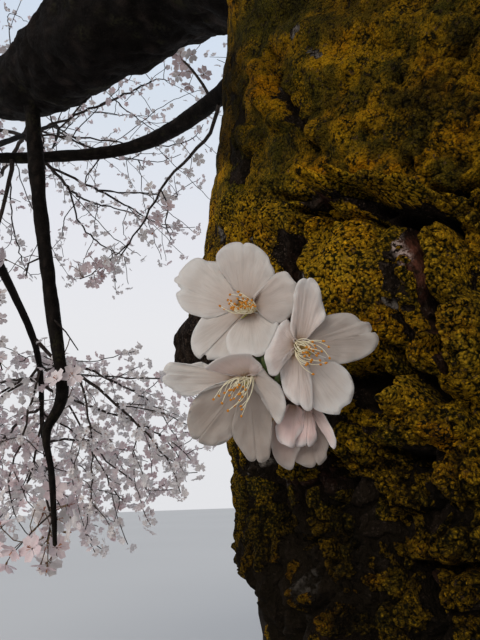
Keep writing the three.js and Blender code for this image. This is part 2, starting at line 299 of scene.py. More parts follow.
def stroke(col, row, stations):
    """1 along a line of the picture through (column, row, half width), falling to 0 at its half width."""
    out = np.zeros(len(col))
    for (x0, y0, w0), (x1, y1, w1) in zip(stations[:-1], stations[1:]):
        t = np.clip(((col - x0) * (x1 - x0) + (row - y0) * (y1 - y0)) / max((x1 - x0) ** 2 + (y1 - y0) ** 2, 1e-9), 0, 1)
        d = np.hypot(col - x0 - t * (x1 - x0), row - y0 - t * (y1 - y0)) / (w0 + (w1 - w0) * t)
        out = np.maximum(out, smooth(1, 0.15, d))
    return out


# How far the trunk's left side stands out or in, in mm, by height
LEFT_SIDE = np.array([[1.05, 0], [1.15, -4], [1.25, -38], [1.285, -42], [1.30, -37.5], [1.31, -31], [1.318, -20], [1.326, -8.8], [1.335, -6.2],
                      [1.345, -9.1], [1.355, -9.7], [1.368, -7.6], [1.38, -8], [1.40, -2], [1.43, 6], [1.442, 12], [1.458, 14.5], [1.472, 13], [1.48, 9.2], [1.495, 4.4], [1.51, 2.4],
                      [1.525, -1.1], [1.545, -3.7], [1.56, -5.9], [1.58, -8.6], [1.60, -11.8], [1.62, -14], [1.65, -17], [1.68, -19.6], [1.72, -23],
                      [1.78, -24], [1.86, -20], [1.98, 0]])


def bark_relief(p, a, z, size):
    """Height of the bark in metres over the trunk's plain form, what grows on it, and the painted shade, painted light
    and painted highlight for its colour.
    """
    n = len(a)
    mm = p * 1000.0
    fine = lambda wave: np.clip(1.6 - size * 1000 / (0.32 * wave), 0, 1)  # a wave is left out where the lattice can't hold it
    wander = np.stack([layered(mm / 60, 3, seed=s) for s in (1, 2, 3)], -1)
    close = smooth(0.62, 0.42, np.linalg.norm(p - EYE, axis=-1))
    col, row, depth = project(p)
    front = (depth > 0.08) & (np.cos(a - math.radians(212)) > math.cos(math.radians(46)))
    seen = np.where(front, smooth(-60, -20, row) * smooth(700, 660, row) * smooth(540, 500, col), 0.0)
    w1 = np.stack([noise(mm / 13, 11), noise(mm / 13, 12)], -1) * 7 + np.stack([noise(mm / 5, 13), noise(mm / 5, 14)], -1) * 3.5
    col, row = col + w1[:, 0], row + w1[:, 1]

    # plates of old bark with fissures between, taller than wide
    q = np.stack([mm[:, 0] / 52, mm[:, 1] / 52, mm[:, 2] / 92], -1) + 0.42 * wander
    f1, f2, own = cells(q, 5)
    gap = f2 - f1
    fissure = smooth(0.2, 0.0, gap)
    plate = np.clip(gap * 1.6, 0, 1) ** 0.6
    broken = fine(40)
    h = 5.0 * (plate - 0.55) * broken - 7.5 * fissure * broken + 5.5 * wander[:, 0] + (own - 0.5) * 4.0 * (1 - fissure)
    q2 = np.stack([mm[:, 0] / 17, mm[:, 1] / 17, mm[:, 2] / 26], -1) + 0.5 * wander
    g1, g2, own2 = cells(q2, 6)
    crack = smooth(0.16, 0.0, g2 - g1)
    h = h - 2.6 * crack * fine(14) + (own2 - 0.5) * 1.6 * fine(16)
    flat = seen * smooth(205, 165, row)
    h = h * (1 - 0.62 * seen - 0.20 * flat)
    fissure, crack = fissure * (1 - 0.6 * seen), crack * (1 - 0.35 * seen)

    S = lambda *v, **k: spot(col, row, *v, **k) * seen
    D = lambda *v, **k: dome(col, row, *v, **k) * seen
    L = lambda *v: stroke(col, row, v) * seen

    # the healed knot, the blocks round it and the fissures between, as the camera sees them
    scale = np.clip(depth / 0.155, 1, 2.2)
    form = 0
    form = form + 12.0 * D(362, 285, 62, 80, 8, power=0.9)                 # the knot's dome
    form = form - 9.0 * L((404, 215, 9), (417, 222, 9), (424, 250, 8), (430, 275, 7), (429, 295, 7), (436, 312, 8), (443, 330, 9), (440, 350, 9))
    form = form - 8.0 * L((390, 344, 6), (399, 357, 7), (411, 369, 8), (424, 382, 8), (437, 396, 8))
    form = form - 7.0 * L((318, 203, 8), (304, 225, 11), (292, 250, 14), (287, 278, 12))
    form = form - 6.5 * L((326, 372, 8), (350, 376, 10), (380, 376, 10), (400, 366, 8))
    form = form + 9.0 * S(372, 196, 74, 16, -3) + 5.0 * S(345, 190, 26, 10, -20) + 7.0 * S(420, 203, 38, 15, 22)  # ledge over the knot
    uneven = 0.72 + 0.75 * noise(mm / 8.0, 26)
    form = form - 13.0 * uneven * L((322, 201, 6), (338, 199, 8), (356, 198, 9), (372, 203, 9), (388, 209, 7))
    form = form + 3.5 * D(351, 211, 13, 5, 4, power=0.6) + 3.0 * D(329, 213, 6, 4, power=0.6) - 6.0 * L((322, 221, 3), (340, 220, 4), (362, 220, 4), (392, 226, 4))
    form = form - 13.0 * uneven * L((404, 219, 8), (424, 223, 11), (446, 222, 11), (462, 232, 7))
    e1, e2, own_e = cells(mm / 7.5 + 0.4 * wander, 67)
    form = form + 5.0 * S(385, 196, 112, 24, 4, edge=0.6) * (np.sqrt(1 - np.clip(e1 / 0.8, 0, 1)) - 0.5 + 0.5 * (own_e - 0.5))
    form = form - 9.0 * L((428, 318, 6), (440, 335, 9), (448, 354, 10), (450, 374, 9))
    form = form - 8.0 * L((292, 206, 6), (308, 212, 8), (330, 203, 8)) - 9.0 * L((330, 186, 5), (344, 181, 6), (356, 184, 6))
    form = form + 6.0 * D(344, 184, 9, 7, power=0.7) + 6.0 * D(362, 190, 8, 7, power=0.7) + 6.0 * D(385, 194, 9, 7, power=0.7) + 5.0 * D(404, 198, 9, 7, power=0.7) + 5.0 * D(430, 204, 10, 7, power=0.7)
    form = form - 11.0 * L((430, 186, 6), (450, 190, 9), (472, 186, 9), (492, 178, 8))
    form = form + 3.5 * S(345, 194, 12, 5, 8)
    form = form + 10.0 * D(446, 262, 24, 44, -12, power=0.6) + 12.0 * D(466, 342, 34, 58, 4, power=0.6) + 6.0 * D(424, 350, 16, 20, power=0.6)
    form = form - 6.0 * L((374, 364, 5), (370, 388, 8), (368, 408, 6))
    form = form + 10.0 * D(406, 390, 11, 31, 10, power=0.7) + 10.0 * D(410, 424, 34, 36, 30, power=0.6) + 8.0 * D(446, 424, 22, 22, 20, power=0.6)
    form = form - 8.0 * L((384, 450, 7), (402, 455, 9), (424, 458, 9), (436, 466, 6)) - 6.0 * L((417, 462, 6), (426, 476, 7), (432, 490, 5))
    form = form + 6.0 * D(458, 480, 34, 24, 10, power=0.6) + 5.0 * D(404, 492, 40, 24, 8, power=0.6) + 4.0 * D(352, 424, 26, 34, power=0.6)
    form = form - 7.0 * L((408, 564, 6), (440, 568, 9), (490, 572, 10)) - 6.0 * L((418, 572, 7), (430, 590, 10), (436, 610, 8))
    form = form + 5.0 * D(360, 545, 36, 40, 10, power=0.6) + 5.0 * D(342, 622, 34, 26, power=0.6) + 6.0 * D(406, 616, 28, 26, power=0.6) + 5.0 * D(462, 545, 28, 22, power=0.6) + 5.0 * D(466, 595, 24, 24, power=0.6)
    form = form + 4.0 * D(306, 588, 15, 26, 18, power=0.6)
    form = form - 8.0 * L((296, 538, 7), (306, 543, 9), (316, 540, 6)) - 5.0 * L((300, 470, 6), (306, 500, 7), (312, 530, 6)) - 5.0 * L((270, 455, 5), (275, 500, 6), (284, 545, 6))
    form = form - 6.0 * L((326, 452, 6), (338, 480, 8), (330, 520, 7), (336, 560, 6))
    form = form - 4.5 * L((268, 50, 4), (272, 72, 6), (275, 92, 7), (288, 114, 7), (298, 136, 6), (308, 146, 4))
    form = form + 4.0 * D(260, 72, 9, 14, power=0.6) + 4.5 * D(262, 100, 9, 15, power=0.6) + 4.5 * D(279, 120, 12, 12, power=0.6) + 4.0 * D(248, 138, 12, 14, power=0.6)
    form = form - 5.0 * L((271, 198, 4), (284, 193, 5), (296, 190, 4)) - 5.0 * L((236, 200, 5), (241, 176, 6), (247, 158, 4)) - 5.0 * L((444, 50, 4), (462, 40, 6), (486, 22, 6))
    form = form - 3.5 * L((395, 180, 4), (402, 166, 6), (409, 156, 4)) - 4.0 * S(397, 76, 6, 5) - 3.5 * S(365, 131, 5, 4)
    form = form + 3.0 * D(300, 222, 30, 22, power=0.6) + 3.5 * D(250, 215, 34, 30, power=0.6)
    form = form + 1.4 * S(410, 262, 20, 50, -6, edge=0.6) * noise(np.stack([(row + 0.2 * col) / 6.0, col / 22, 0 * col], -1), 25)
    # slanting ridges above the ledge
    slant = mm[:, 2] / 15 + ((col - 350) * 0.55 + row * 0.0) / 26
    upper = seen * smooth(190, 150, row) * smooth(240, 300, col)
    form = form + upper * 1.5 * np.sin(TAU * (slant * 0.62 + 0.5 * wander[:, 1] + 0.25 * wander[:, 2]))
    across, along = (0.42 * col + 0.91 * row) * 0.3, (0.91 * col - 0.42 * row) * 0.3
    form = form + flat * (1.7 * noise(np.stack([across / 3.6, along / 12, 0 * col], -1), 23) + 1.3 * noise(np.stack([across / 8, along / 17, 0 * col], -1), 24))
    # upright ridges of the bare lower left
    bare = seen * smooth(320, 285, col) * smooth(440, 480, row)
    turn_mm = a * 220
    form = form + bare * 2.6 * np.sin(TAU * (turn_mm / 11 + 0.9 * wander[:, 1])) * (0.6 + 0.4 * noise(mm / np.array([14, 14, 40]), 22))
    h = h + form * np.clip(scale, 1, 1.5)
    h = h + 3.2 * (1 - 0.55 * flat) * layered(mm / 22, 2, seed=41) * fine(14) + 1.3 * noise(mm / 7.0, 43) * fine(5)
    grain = noise(mm / np.array([3.6, 3.6, 24]), 44)
    h = h + 0.9 * grain * fine(2.4)

    # left side of the picture, and the burl on it
    angle = np.mod(a, TAU)
    side = np.exp(-(np.degrees(angle - math.radians(182)) / (17.0 + 14 * smooth(1.58, 1.72, z))) ** 4)
    span = smooth(1.2, 1.3, z) * smooth(1.85, 1.72, z)
    h = (h - 1.5 * seen) * (1 - 0.5 * side * span) + side * np.interp(z, LEFT_SIDE[:, 0], LEFT_SIDE[:, 1])
    da = (np.mod(a - BURL_ANGLE + math.pi, TAU) - math.pi) * 219 / 37
    dz = (z - BURL_Z) * 1000 / np.where(z > BURL_Z, 22, 21)
    lump = np.clip(1 - (np.abs(da + 0.12 * wander[:, 1]) ** 2.4 + np.abs(dz + 0.15 * wander[:, 2]) ** 2.4), 0, 1) ** 0.5
    h = h * (1 - 0.6 * smooth(0, 0.3, lump)) + 29 * lump
    top = smooth(2.2, 2.36, z)
    h = h * (1 - 0.6 * top)
    h = h * (0.35 + 0.65 * smooth(0.0, 0.03, z))

    # lichen: where it grows, its crust and its colour
    cover = 0.30 + 0.55 * layered(mm / 42, 3, 0.6, seed=51) + 0.25 * noise(mm / 9, 52)
    cover = cover - 0.9 * fissure - 0.4 * crack + 0.2 * smooth(0.3, 0.8, z) * (1 - smooth(2.1, 2.5, z)) - 0.25 * smooth(0.25, 0.0, z)
    up = smooth(235, 205, row) * seen
    cover = cover + 0.45 * up + 0.28 * seen * smooth(320, 350, col) + 0.25 * S(356, 275, 52, 62) + 0.5 * S(258, 205, 50, 36)
    for cx, cy, rx, ry, turn, amount in [
            (417, 246, 9, 30, -12, -1.6), (408, 298, 14, 22, 0, -0.3), (386, 288, 12, 34, 0, 0.7), (412, 300, 16, 26, 0, 0.35), (424, 292, 6, 40, -4, -1.3), (295, 258, 20, 30, 0, -1.1), (318, 195, 17, 12, 0, -1.4), (340, 202, 40, 8, 3, -1.7), (376, 211, 24, 8, 8, -1.6), (355, 220, 36, 2.6, 4, -1.2), (351, 213, 13, 4, 4, 1.9), (329, 213, 6, 4, 0, 1.6), (412, 221, 34, 11, 22, -1.5), (437, 222, 26, 10, 10, -1.2), (447, 350, 12, 34, 0, -1.4), (298, 200, 14, 18, 0, -1.0), (455, 188, 26, 9, -4, -1.0), (232, 110, 9, 90, 0, -0.55), (436, 322, 14, 22, 0, -0.9),
            (340, 385, 44, 16, 0, -0.8), (290, 560, 52, 44, 0, -0.35), (256, 480, 34, 46, 0, -0.4), (256, 600, 36, 44, 0, -0.9), (300, 33, 9, 16, 20, -1.3), (315, 55, 12, 8, 40, -0.8),
            (284, 105, 10, 40, -28, -1.0), (236, 150, 12, 60, 0, -0.5), (320, 495, 18, 30, 0, -0.5), (400, 530, 60, 14, 5, -0.35), (428, 590, 14, 22, 0, -0.8), (424, 455, 34, 9, 8, -1.2),
            (348, 418, 38, 36, 0, -0.25), (350, 500, 26, 30, 0, -0.25), (380, 590, 40, 50, 0, -0.05), (326, 512, 22, 30, 10, 0.45), (334, 566, 20, 24, 0, 0.5), (300, 540, 16, 12, 0, 0.45), (370, 392, 17, 24, 0, -0.8), (423, 378, 7, 32, -42, -1.2), (455, 520, 40, 16, 0, -0.35), (395, 640, 60, 14, 0, -0.2),
            (342, 241, 10, 4, -25, -1.2), (405, 388, 13, 30, 12, 1.0), (410, 424, 34, 34, 30, 0.7), (446, 424, 22, 22, 20, 0.6), (466, 342, 34, 58, 4, 0.7), (446, 262, 24, 44, -12, 0.6), (255, 540, 11, 11, 0, 1.3),
            (282, 518, 11, 12, 0, 0.8), (255, 518, 12, 9, 0, 0.7), (312, 478, 11, 8, 0, 1.0), (404, 494, 38, 17, 8, 0.8), (369, 582, 15, 14, 0, 1.4), (342, 624, 32, 22, 0, 0.8),
            (406, 616, 26, 22, 0, 0.8), (462, 470, 34, 16, 10, 0.8), (345, 535, 16, 22, 0, 0.7), (462, 545, 26, 18, 0, 0.6), (466, 595, 22, 20, 0, 0.3)]:
        cover = cover + amount * S(cx, cy, rx, ry, turn, edge=0.6)
    cover = cover + S(404, 278, 24, 62, edge=0.7) * (0.9 * noise(mm / 2.4, 99) + 0.5 * noise(mm / 5.5, 100))
    # lower down the bark is split small, and the lichen sits on it in patches
    low = seen * smooth(425, 465, row)
    s1, s2, own_s = cells(np.stack([mm[:, 0] / 9, mm[:, 1] / 9, mm[:, 2] / 13], -1) + 0.5 * wander + 0.2 * noise(mm / 3.5, 98)[:, None], 96)
    split = smooth(0.17, 0.02, s2 - s1) * low * fine(7)
    h = h - 2.2 * split + 2.2 * low * (own_s - 0.5)
    cover = cover + low * (0.65 * (own_s - 0.42) + 0.40 * noise(mm / 5.0, 97)) - 0.5 * split
    cover = cover - 1.6 * smooth(0, 0.25, lump)
    lichen = smooth(0.1, 0.42, cover)
    # thick tufts stand in rounded heads with dark gaps between
    tufted = np.clip(0.85 * S(385, 196, 112, 24, 4, edge=0.6) + 0.95 * seen * smooth(380, 425, col) * smooth(10, 50, row) * smooth(238, 215, row) + 0.7 * S(446, 262, 26, 46, edge=0.6)
                     + 0.7 * S(466, 342, 36, 60, edge=0.6) + 0.6 * seen * smooth(395, 430, row) * smooth(330, 360, col) + 0.5 * S(258, 205, 50, 36, edge=0.6)
                     + 0.35 * seen * smooth(0.0, 0.3, noise(mm / 24, 92)), 0, 1) * fine(4.0)
    m1, m2, own_m = cells(mm / 4.7 + 0.5 * wander + 0.25 * noise(mm / 3.0, 94)[:, None], 93)
    head = np.sqrt(np.clip(1 - (m1 / 0.85) ** 2, 0, 1))
    cleft = smooth(0.15, 0.02, m2 - m1) * tufted * lichen
    h = h + lichen * tufted * (2.6 * (head - 0.55) + 1.6 * (own_m - 0.5)) - 1.0 * cleft
    c1, c2, own_c = cells(mm / 3.6 + 0.3 * wander, 61)
    d1, d2, own_d = cells(mm / 1.75, 62)
    g1, g2 = np.sqrt(1 - np.clip(c1 / 0.8, 0, 1)), np.sqrt(1 - np.clip(d1 / 0.8, 0, 1))
    k1, k2 = fine(2.9), fine(1.4)
    granule = 0.5 * (g1 * k1 + 0.55 * (1 - k1)) + 0.5 * (g2 * k2 + 0.55 * (1 - k2))
    seam = smooth(0.16, 0.0, c2 - c1) * fine(2.2)
    rough = 1.5 * noise(mm / np.array([5.2, 5.2, 8]), 64) * fine(4) + 0.9 * noise(mm / 2.6, 65) * fine(2) - 2.0 * np.clip(np.abs(noise(mm / np.array([7, 7, 15]), 66)) * -4 + 0.6, 0, 1) * fine(4)
    h = h + (1 - lichen) * rough * (1 - 0.5 * S(410, 258, 18, 46, -6))
    crust = 0.4 + 1.9 * granule + 1.3 * (own_c - 0.5) * fine(2.6) - 1.3 * seam + 0.6 * noise(mm / 1.3, 63) * fine(1.0)
    h = h + lichen * crust * (0.75 + 0.5 * smooth(0.4, 1.1, cover)) * (1 - 0.5 * S(350, 285, 70, 80, edge=0.5))

    hue = 0.45 + 0.55 * layered(mm / 30, 2, seed=71) + 0.25 * (own_c - 0.5) + 0.2 * (granule - 0.6)
    for cx, cy, rx, ry, amount in [(350, 170, 110, 26, 0.28), (258, 225, 46, 30, 0.3), (466, 342, 34, 56, 0.42), (410, 405, 44, 50, 0.38), (398, 388, 15, 28, 0.3), (435, 435, 30, 26, 0.2), (447, 443, 22, 22, 0.5), (369, 582, 18, 18, 0.55),
                                   (462, 468, 36, 16, 0.3), (404, 494, 44, 22, 0.2), (345, 95, 60, 50, 0.05), (420, 70, 60, 60, 0.1), (360, 325, 46, 22, 0.3), (258, 85, 14, 26, 0.35),
                                   (300, 20, 90, 30, -0.25), (450, 200, 40, 60, -0.05), (345, 265, 40, 40, -0.06), (350, 430, 40, 40, -0.2), (345, 480, 50, 60, -0.15), (250, 160, 30, 60, -0.15), (465, 595, 30, 30, -0.2)]:
        hue = hue + amount * S(cx, cy, rx, ry, edge=0.8)
    # deep: clefts, splits, fissures and carved crevices darkened toward black, partly the bark's own dark in its
    # cracks, partly painted shade in the recesses
    deep = np.clip(0.75 * cleft + 0.85 * split + 0.9 * fissure * (1 - 0.5 * seen) + 0.5 * crack * (1 - 0.7 * seen) + np.clip(-form - 1.0, 0, 12) / 8, 0, 1)
    red = np.clip(1.2 * S(417, 262, 12, 46, -6, edge=0.6) + 0.8 * S(342, 240, 10, 5, -25, edge=0.6) + 0.8 * S(440, 335, 12, 26, edge=0.6) + 0.6 * S(293, 262, 15, 28, edge=0.6) + 0.4 * S(322, 196, 14, 10, edge=0.6)
                  + 0.35 * smooth(0.2, 0.6, noise(mm / 26, 81)) * seen, 0, 1)
    grey = np.clip(1.2 * S(305, 588, 12, 25, 18, edge=0.5) + 1.0 * S(300, 33, 7, 14, 20, edge=0.5) + 0.7 * S(316, 56, 9, 6, 40) + smooth(0.46, 0.6, noise(mm / 11, 82) + 0.2 * noise(mm / 3, 83)) * 0.8, 0, 1)
    # where the bare bark is glossy and smoother, and where a pale highlight is painted into its colour
    gloss = np.clip(1.0 * S(404, 245, 8, 20, -12, edge=0.7) + 0.8 * S(410, 262, 8, 14, edge=0.7) + 0.7 * S(314, 222, 3, 6, 30, edge=0.7) + 0.8 * S(342, 241, 8, 3, -25, edge=0.7), 0, 1)
    # shade: painted shade, darkening the upper trunk, the lower right and the hollows round the tooth, where less light
    # falls
    shade = np.clip(0.5 * S(424, 330, 14, 30, edge=0.8) + 0.85 * S(370, 393, 19, 27, 8, edge=0.7) + 0.85 * S(423, 378, 9, 32, -42, edge=0.8) + seen * (0.42 * smooth(182, 150, row) + 0.62 * smooth(430, 510, row) + 0.15 * smooth(470, 560, row) * smooth(400, 340, col)) + seen * 0.45 * smooth(262, 232, col) * smooth(30, 60, row) * smooth(190, 160, row) - 0.4 * S(369, 582, 18, 18), 0, 1)
    # glow: painted light, brightening the lichen on the ledge, the knot and the blocks beside it as if more light fell
    # there
    glow = np.clip(1.0 * S(418, 200, 36, 20, edge=0.6) + 0.8 * S(370, 188, 40, 10, edge=0.6) + 0.6 * S(350, 272, 54, 58, edge=0.6) + 0.7 * S(400, 396, 28, 40, edge=0.6)
                   + 0.8 * S(466, 342, 34, 56, edge=0.6) + 0.4 * S(446, 262, 24, 44, edge=0.6) + 0.4 * S(258, 215, 50, 30, edge=0.6), 0, 1)
    return h / 1000.0, {"glow": glow, "shade": shade, "lichen": lichen, "hue": np.clip(hue, 0, 1), "rise": np.clip(granule, 0, 1), "deep": deep, "red": red, "grey": grey, "gloss": gloss,
                        "crackle": np.clip(0.72 - 0.5 * seen * smooth(205, 165, row) + 0.25 * layered(mm / 30, 2, seed=91), 0, 1)}


# ------------------------------------------------------------------ materials
class Tree:
    """Small helper for building a material's nodes."""

    def __init__(self, name):
        self.material = bpy.data.materials.new(name)
        self.material.use_nodes = True
        self.nodes, self.links = self.material.node_tree.nodes, self.material.node_tree.links
        self.nodes.clear()
        self.out = self.nodes.new("ShaderNodeOutputMaterial")
        self.bsdf = self.nodes.new("ShaderNodeBsdfPrincipled")
        self.links.new(self.bsdf.outputs[0], self.out.inputs[0])
        self._where = None

    def feed(self, socket, value):
        if isinstance(value, bpy.types.NodeSocket):
            self.links.new(value, socket)
        else:
            socket.default_value = value

    def where(self):
        if self._where is None:
            self._where = self.nodes.new("ShaderNodeTexCoord").outputs["Object"]
        return self._where

    def attribute(self, name):
        n = self.nodes.new("ShaderNodeAttribute")
        n.attribute_name = name
        return n.outputs["Fac"]

    def noise(self, scale, detail=2.0, rough=0.5, stretch=None, distort=0.0):
        n = self.nodes.new("ShaderNodeTexNoise")
        n.inputs["Scale"].default_value, n.inputs["Detail"].default_value = scale, detail
        n.inputs["Roughness"].default_value, n.inputs["Distortion"].default_value = rough, distort
        v = self.where()
        if stretch:
            m = self.nodes.new("ShaderNodeMapping")
            m.inputs["Scale"].default_value = stretch
            self.links.new(v, m.inputs["Vector"])
            v = m.outputs[0]
        self.links.new(v, n.inputs["Vector"])
        return n.outputs["Fac"]

    def bent(self, scale, amount):
        """Places shifted by a noise, so that cells get uneven outlines."""
        n = self.nodes.new("ShaderNodeTexNoise")
        n.inputs["Scale"].default_value, n.inputs["Detail"].default_value = scale, 2.0
        self.links.new(self.where(), n.inputs["Vector"])
        off, size, total = (self.nodes.new("ShaderNodeVectorMath") for _ in range(3))
        off.operation, size.operation, total.operation = "SUBTRACT", "SCALE", "ADD"
        self.links.new(n.outputs["Color"], off.inputs[0])
        off.inputs[1].default_value = (0.5, 0.5, 0.5)
        self.links.new(off.outputs[0], size.inputs[0])
        size.inputs["Scale"].default_value = amount
        self.links.new(self.where(), total.inputs[0])
        self.links.new(size.outputs[0], total.inputs[1])
        return total.outputs[0]

    def spots(self, scale, feature="F1", vector=None):
        n = self.nodes.new("ShaderNodeTexVoronoi")
        n.feature = feature
        n.inputs["Scale"].default_value = scale
        self.links.new(vector or self.where(), n.inputs["Vector"])
        return n.outputs["Distance"]

    def math(self, kind, a, b=0.0, clamp=False):
        n = self.nodes.new("ShaderNodeMath")
        n.operation, n.use_clamp = kind, clamp
        self.feed(n.inputs[0], a)
        self.feed(n.inputs[1], b)
        return n.outputs[0]

    def span(self, value, lo, hi, to_lo=0.0, to_hi=1.0):
        n = self.nodes.new("ShaderNodeMapRange")
        n.interpolation_type = "SMOOTHSTEP"
        self.feed(n.inputs["Value"], value)
        for key, v in (("From Min", lo), ("From Max", hi), ("To Min", to_lo), ("To Max", to_hi)):
            n.inputs[key].default_value = v
        return n.outputs[0]

    def mix(self, fac, a, b):
        n = self.nodes.new("ShaderNodeMix")
        n.data_type = "RGBA"
        self.feed(n.inputs[0], fac)
        for socket, v in ((n.inputs[6], a), (n.inputs[7], b)):
            self.feed(socket, v if isinstance(v, bpy.types.NodeSocket) else (*v, 1.0))
        return n.outputs[2]

    def bump(self, height, distance, strength=1.0, normal=None):
        n = self.nodes.new("ShaderNodeBump")
        n.inputs["Strength"].default_value, n.inputs["Distance"].default_value = strength, distance
        self.links.new(height, n.inputs["Height"])
        if normal is not None:
            self.links.new(normal, n.inputs["Normal"])
        return n.outputs[0]


def set_value(tree, **values):
    for key, v in values.items():
        tree.bsdf.inputs[key.replace("_", " ")].default_value = v


def bark_material():
    t = Tree("bark_lichen")
    lichen, hue, rise, deep, crackle = (t.attribute(k) for k in ("lichen", "hue", "rise", "deep", "crackle"))
    bent, bent_fine = t.bent(150, 0.004), t.bent(520, 0.0011)
    fine, middling = t.noise(1500, 2), t.noise(420, 3)
    streak = t.noise(260, 3, stretch=(1, 1, 0.16))
    # bare bark: brown-black, paler on its ridges, reddish near the knot, with grey crusts, and a painted pale highlight
    # on the glossy bark by the knot
    bare = t.mix(t.span(streak, 0.40, 0.68), (0.0060, 0.0040, 0.0030), (0.024, 0.0155, 0.0105))
    bare = t.mix(t.math("MULTIPLY", t.span(middling, 0.52, 0.68), 0.6), bare, (0.044, 0.030, 0.022))
    bare = t.mix(t.math("MULTIPLY", t.span(t.noise(900, 3, 0.7), 0.56, 0.66), 0.7), bare, (0.12, 0.085, 0.066))
    bare = t.mix(t.math("MULTIPLY", t.attribute("red"), t.span(t.noise(330, 4, 0.65), 0.35, 0.62, 0.1, 1.0)), bare, (0.135, 0.048, 0.030))
    # painted highlight: pale streaks on the glossy bare bark by the knot
    bare = t.mix(t.math("MULTIPLY", t.attribute("gloss"), t.span(t.noise(760, 3, 0.7), 0.47, 0.56)), bare, (0.62, 0.47, 0.41))
    bare = t.mix(t.math("MULTIPLY", t.attribute("grey"), t.span(t.noise(620, 2), 0.35, 0.6)), bare, (0.36, 0.315, 0.27))
    # lichen: small crumbs with dark gaps between, olive green to mustard and orange
    crumb = t.spots(880, "F1", bent_fine)
    line = lambda scale, detail, lo, hi: t.span(t.math("ABSOLUTE", t.math("SUBTRACT", t.noise(scale, detail, 0.55, distort=0.3), 0.5)), lo, hi, 1.0, 0.0)
    clump = t.spots(300, "DISTANCE_TO_EDGE", bent)
    pits = t.span(t.noise(560, 3, 0.62), 0.42, 0.49, 1.0, 0.0)
    loose = t.noise(75, 3)
    tint = t.math("ADD", hue, t.math("MULTIPLY", t.math("SUBTRACT", fine, 0.5), 1.0))
    lobe = t.mix(t.span(tint, 0.10, 0.48), (0.17, 0.130, 0.009), (0.78, 0.415, 0.010))
    lobe = t.mix(t.span(tint, 0.5, 0.95), lobe, (1.0, 0.41, 0.006))
    lobe = t.mix(t.span(t.noise(70, 3), 0.46, 0.60, 0.0, 0.8), lobe, (0.10, 0.088, 0.010))
    lobe = t.mix(t.math("MULTIPLY", t.attribute("glow"), t.span(t.noise(640, 2), 0.50, 0.60, 0.0, 0.75)), lobe, (0.30, 0.27, 0.014))
    top = t.math("ADD", t.math("MULTIPLY", rise, 0.45), t.math("MULTIPLY", t.math("SUBTRACT", 0.60, crumb), t.span(crackle, 0.0, 1.0, 0.30, 1.55)))
    top = t.math("ADD", top, t.math("MULTIPLY", t.math("SUBTRACT", t.noise(800, 3, 0.65), 0.5), t.span(crackle, 0.0, 1.0, 0.6, 1.3)))
    top = t.math("ADD", top, t.math("MULTIPLY", t.math("SUBTRACT", t.noise(210, 2), 0.5), 0.8))
    crust = t.mix(t.span(top, 0.04, 0.36), (0.020, 0.019, 0.004), lobe)
    # painted highlight: the highest crumbs mixed toward pale yellow, as if lit from above
    crust = t.mix(t.math("MULTIPLY", t.span(top, 0.38, 0.80), t.span(crackle, 0.2, 0.9, 0.10, 0.85)), crust, (1.0, 0.58, 0.025))
    gap = t.math("MAXIMUM", t.math("MULTIPLY", t.span(clump, 0.02, 0.12, 1.0, 0.0), t.span(t.noise(130, 2), 0.45, 0.6)), t.math("MAXIMUM", line(190, 3, 0.009, 0.034), t.math("MULTIPLY", line(460, 2, 0.008, 0.05), t.span(loose, 0.40, 0.60, 0.35, 1.0))))
    gap = t.math("MAXIMUM", gap, t.math("MULTIPLY", pits, 0.85))
    crust = t.mix(t.math("MULTIPLY", t.math("MULTIPLY", gap, crackle), t.span(loose, 0.35, 0.6, 0.65, 0.95)), crust, (0.0080, 0.0080, 0.0025))
    crust = t.mix(t.span(t.noise(520, 2, 0.6), 0.62, 0.68, 0.0, 0.65), crust, (0.13, 0.075, 0.055))
    # painted light: where glow is set, the crumbs' tops mixed toward bright yellow-orange
    crust = t.mix(t.math("MULTIPLY", t.attribute("glow"), t.span(top, 0.12, 0.55, 0.0, 0.62)), crust, (1.0, 0.56, 0.028))
    edge = t.math("ADD", lichen, t.math("MULTIPLY", t.math("SUBTRACT", middling, 0.5), 1.1))
    edge = t.math("SUBTRACT", edge, t.math("MULTIPLY", t.math("MULTIPLY", gap, crackle), 0.2))
    colour = t.mix(t.span(edge, 0.40, 0.60), bare, crust)
    # painted shade in crevices and clefts, mixed toward near black, with some of the bark's own dark
    colour = t.mix(t.math("MULTIPLY", deep, 0.92), colour, (0.005, 0.0035, 0.002))
    # painted shade: where shade is set, colour mixed toward near black
    colour = t.mix(t.attribute("shade"), colour, (0.007, 0.005, 0.0025))
    t.feed(t.bsdf.inputs["Base Color"], t.mix(t.span(t.noise(26, 3), 0.35, 0.66, 0.32, 0.0), colour, (0.013, 0.009, 0.005)))
    t.feed(t.bsdf.inputs["Roughness"], t.math("SUBTRACT", 0.95, t.math("MULTIPLY", t.math("MULTIPLY", t.math("MAXIMUM", t.attribute("gloss"), t.math("MULTIPLY", t.attribute("red"), 0.6)), t.math("SUBTRACT", 1.0, lichen)), 0.60)))
    set_value(t, Specular_IOR_Level=0.06)
    crumbs = t.math("SUBTRACT", t.math("SUBTRACT", 0.7, crumb), t.math("MULTIPLY", t.math("MULTIPLY", gap, crackle), 0.8))
    small = t.bump(t.noise(1300, 3, 0.65), 0.0009, 0.9)
    small = t.bump(t.math("MULTIPLY", crumbs, t.span(lichen, 0.2, 0.6)), 0.0019, 1.0, small)
    t.feed(t.bsdf.inputs["Normal"], t.bump(t.math("ADD", streak, middling), 0.0022, 0.75, small))
    return t.material


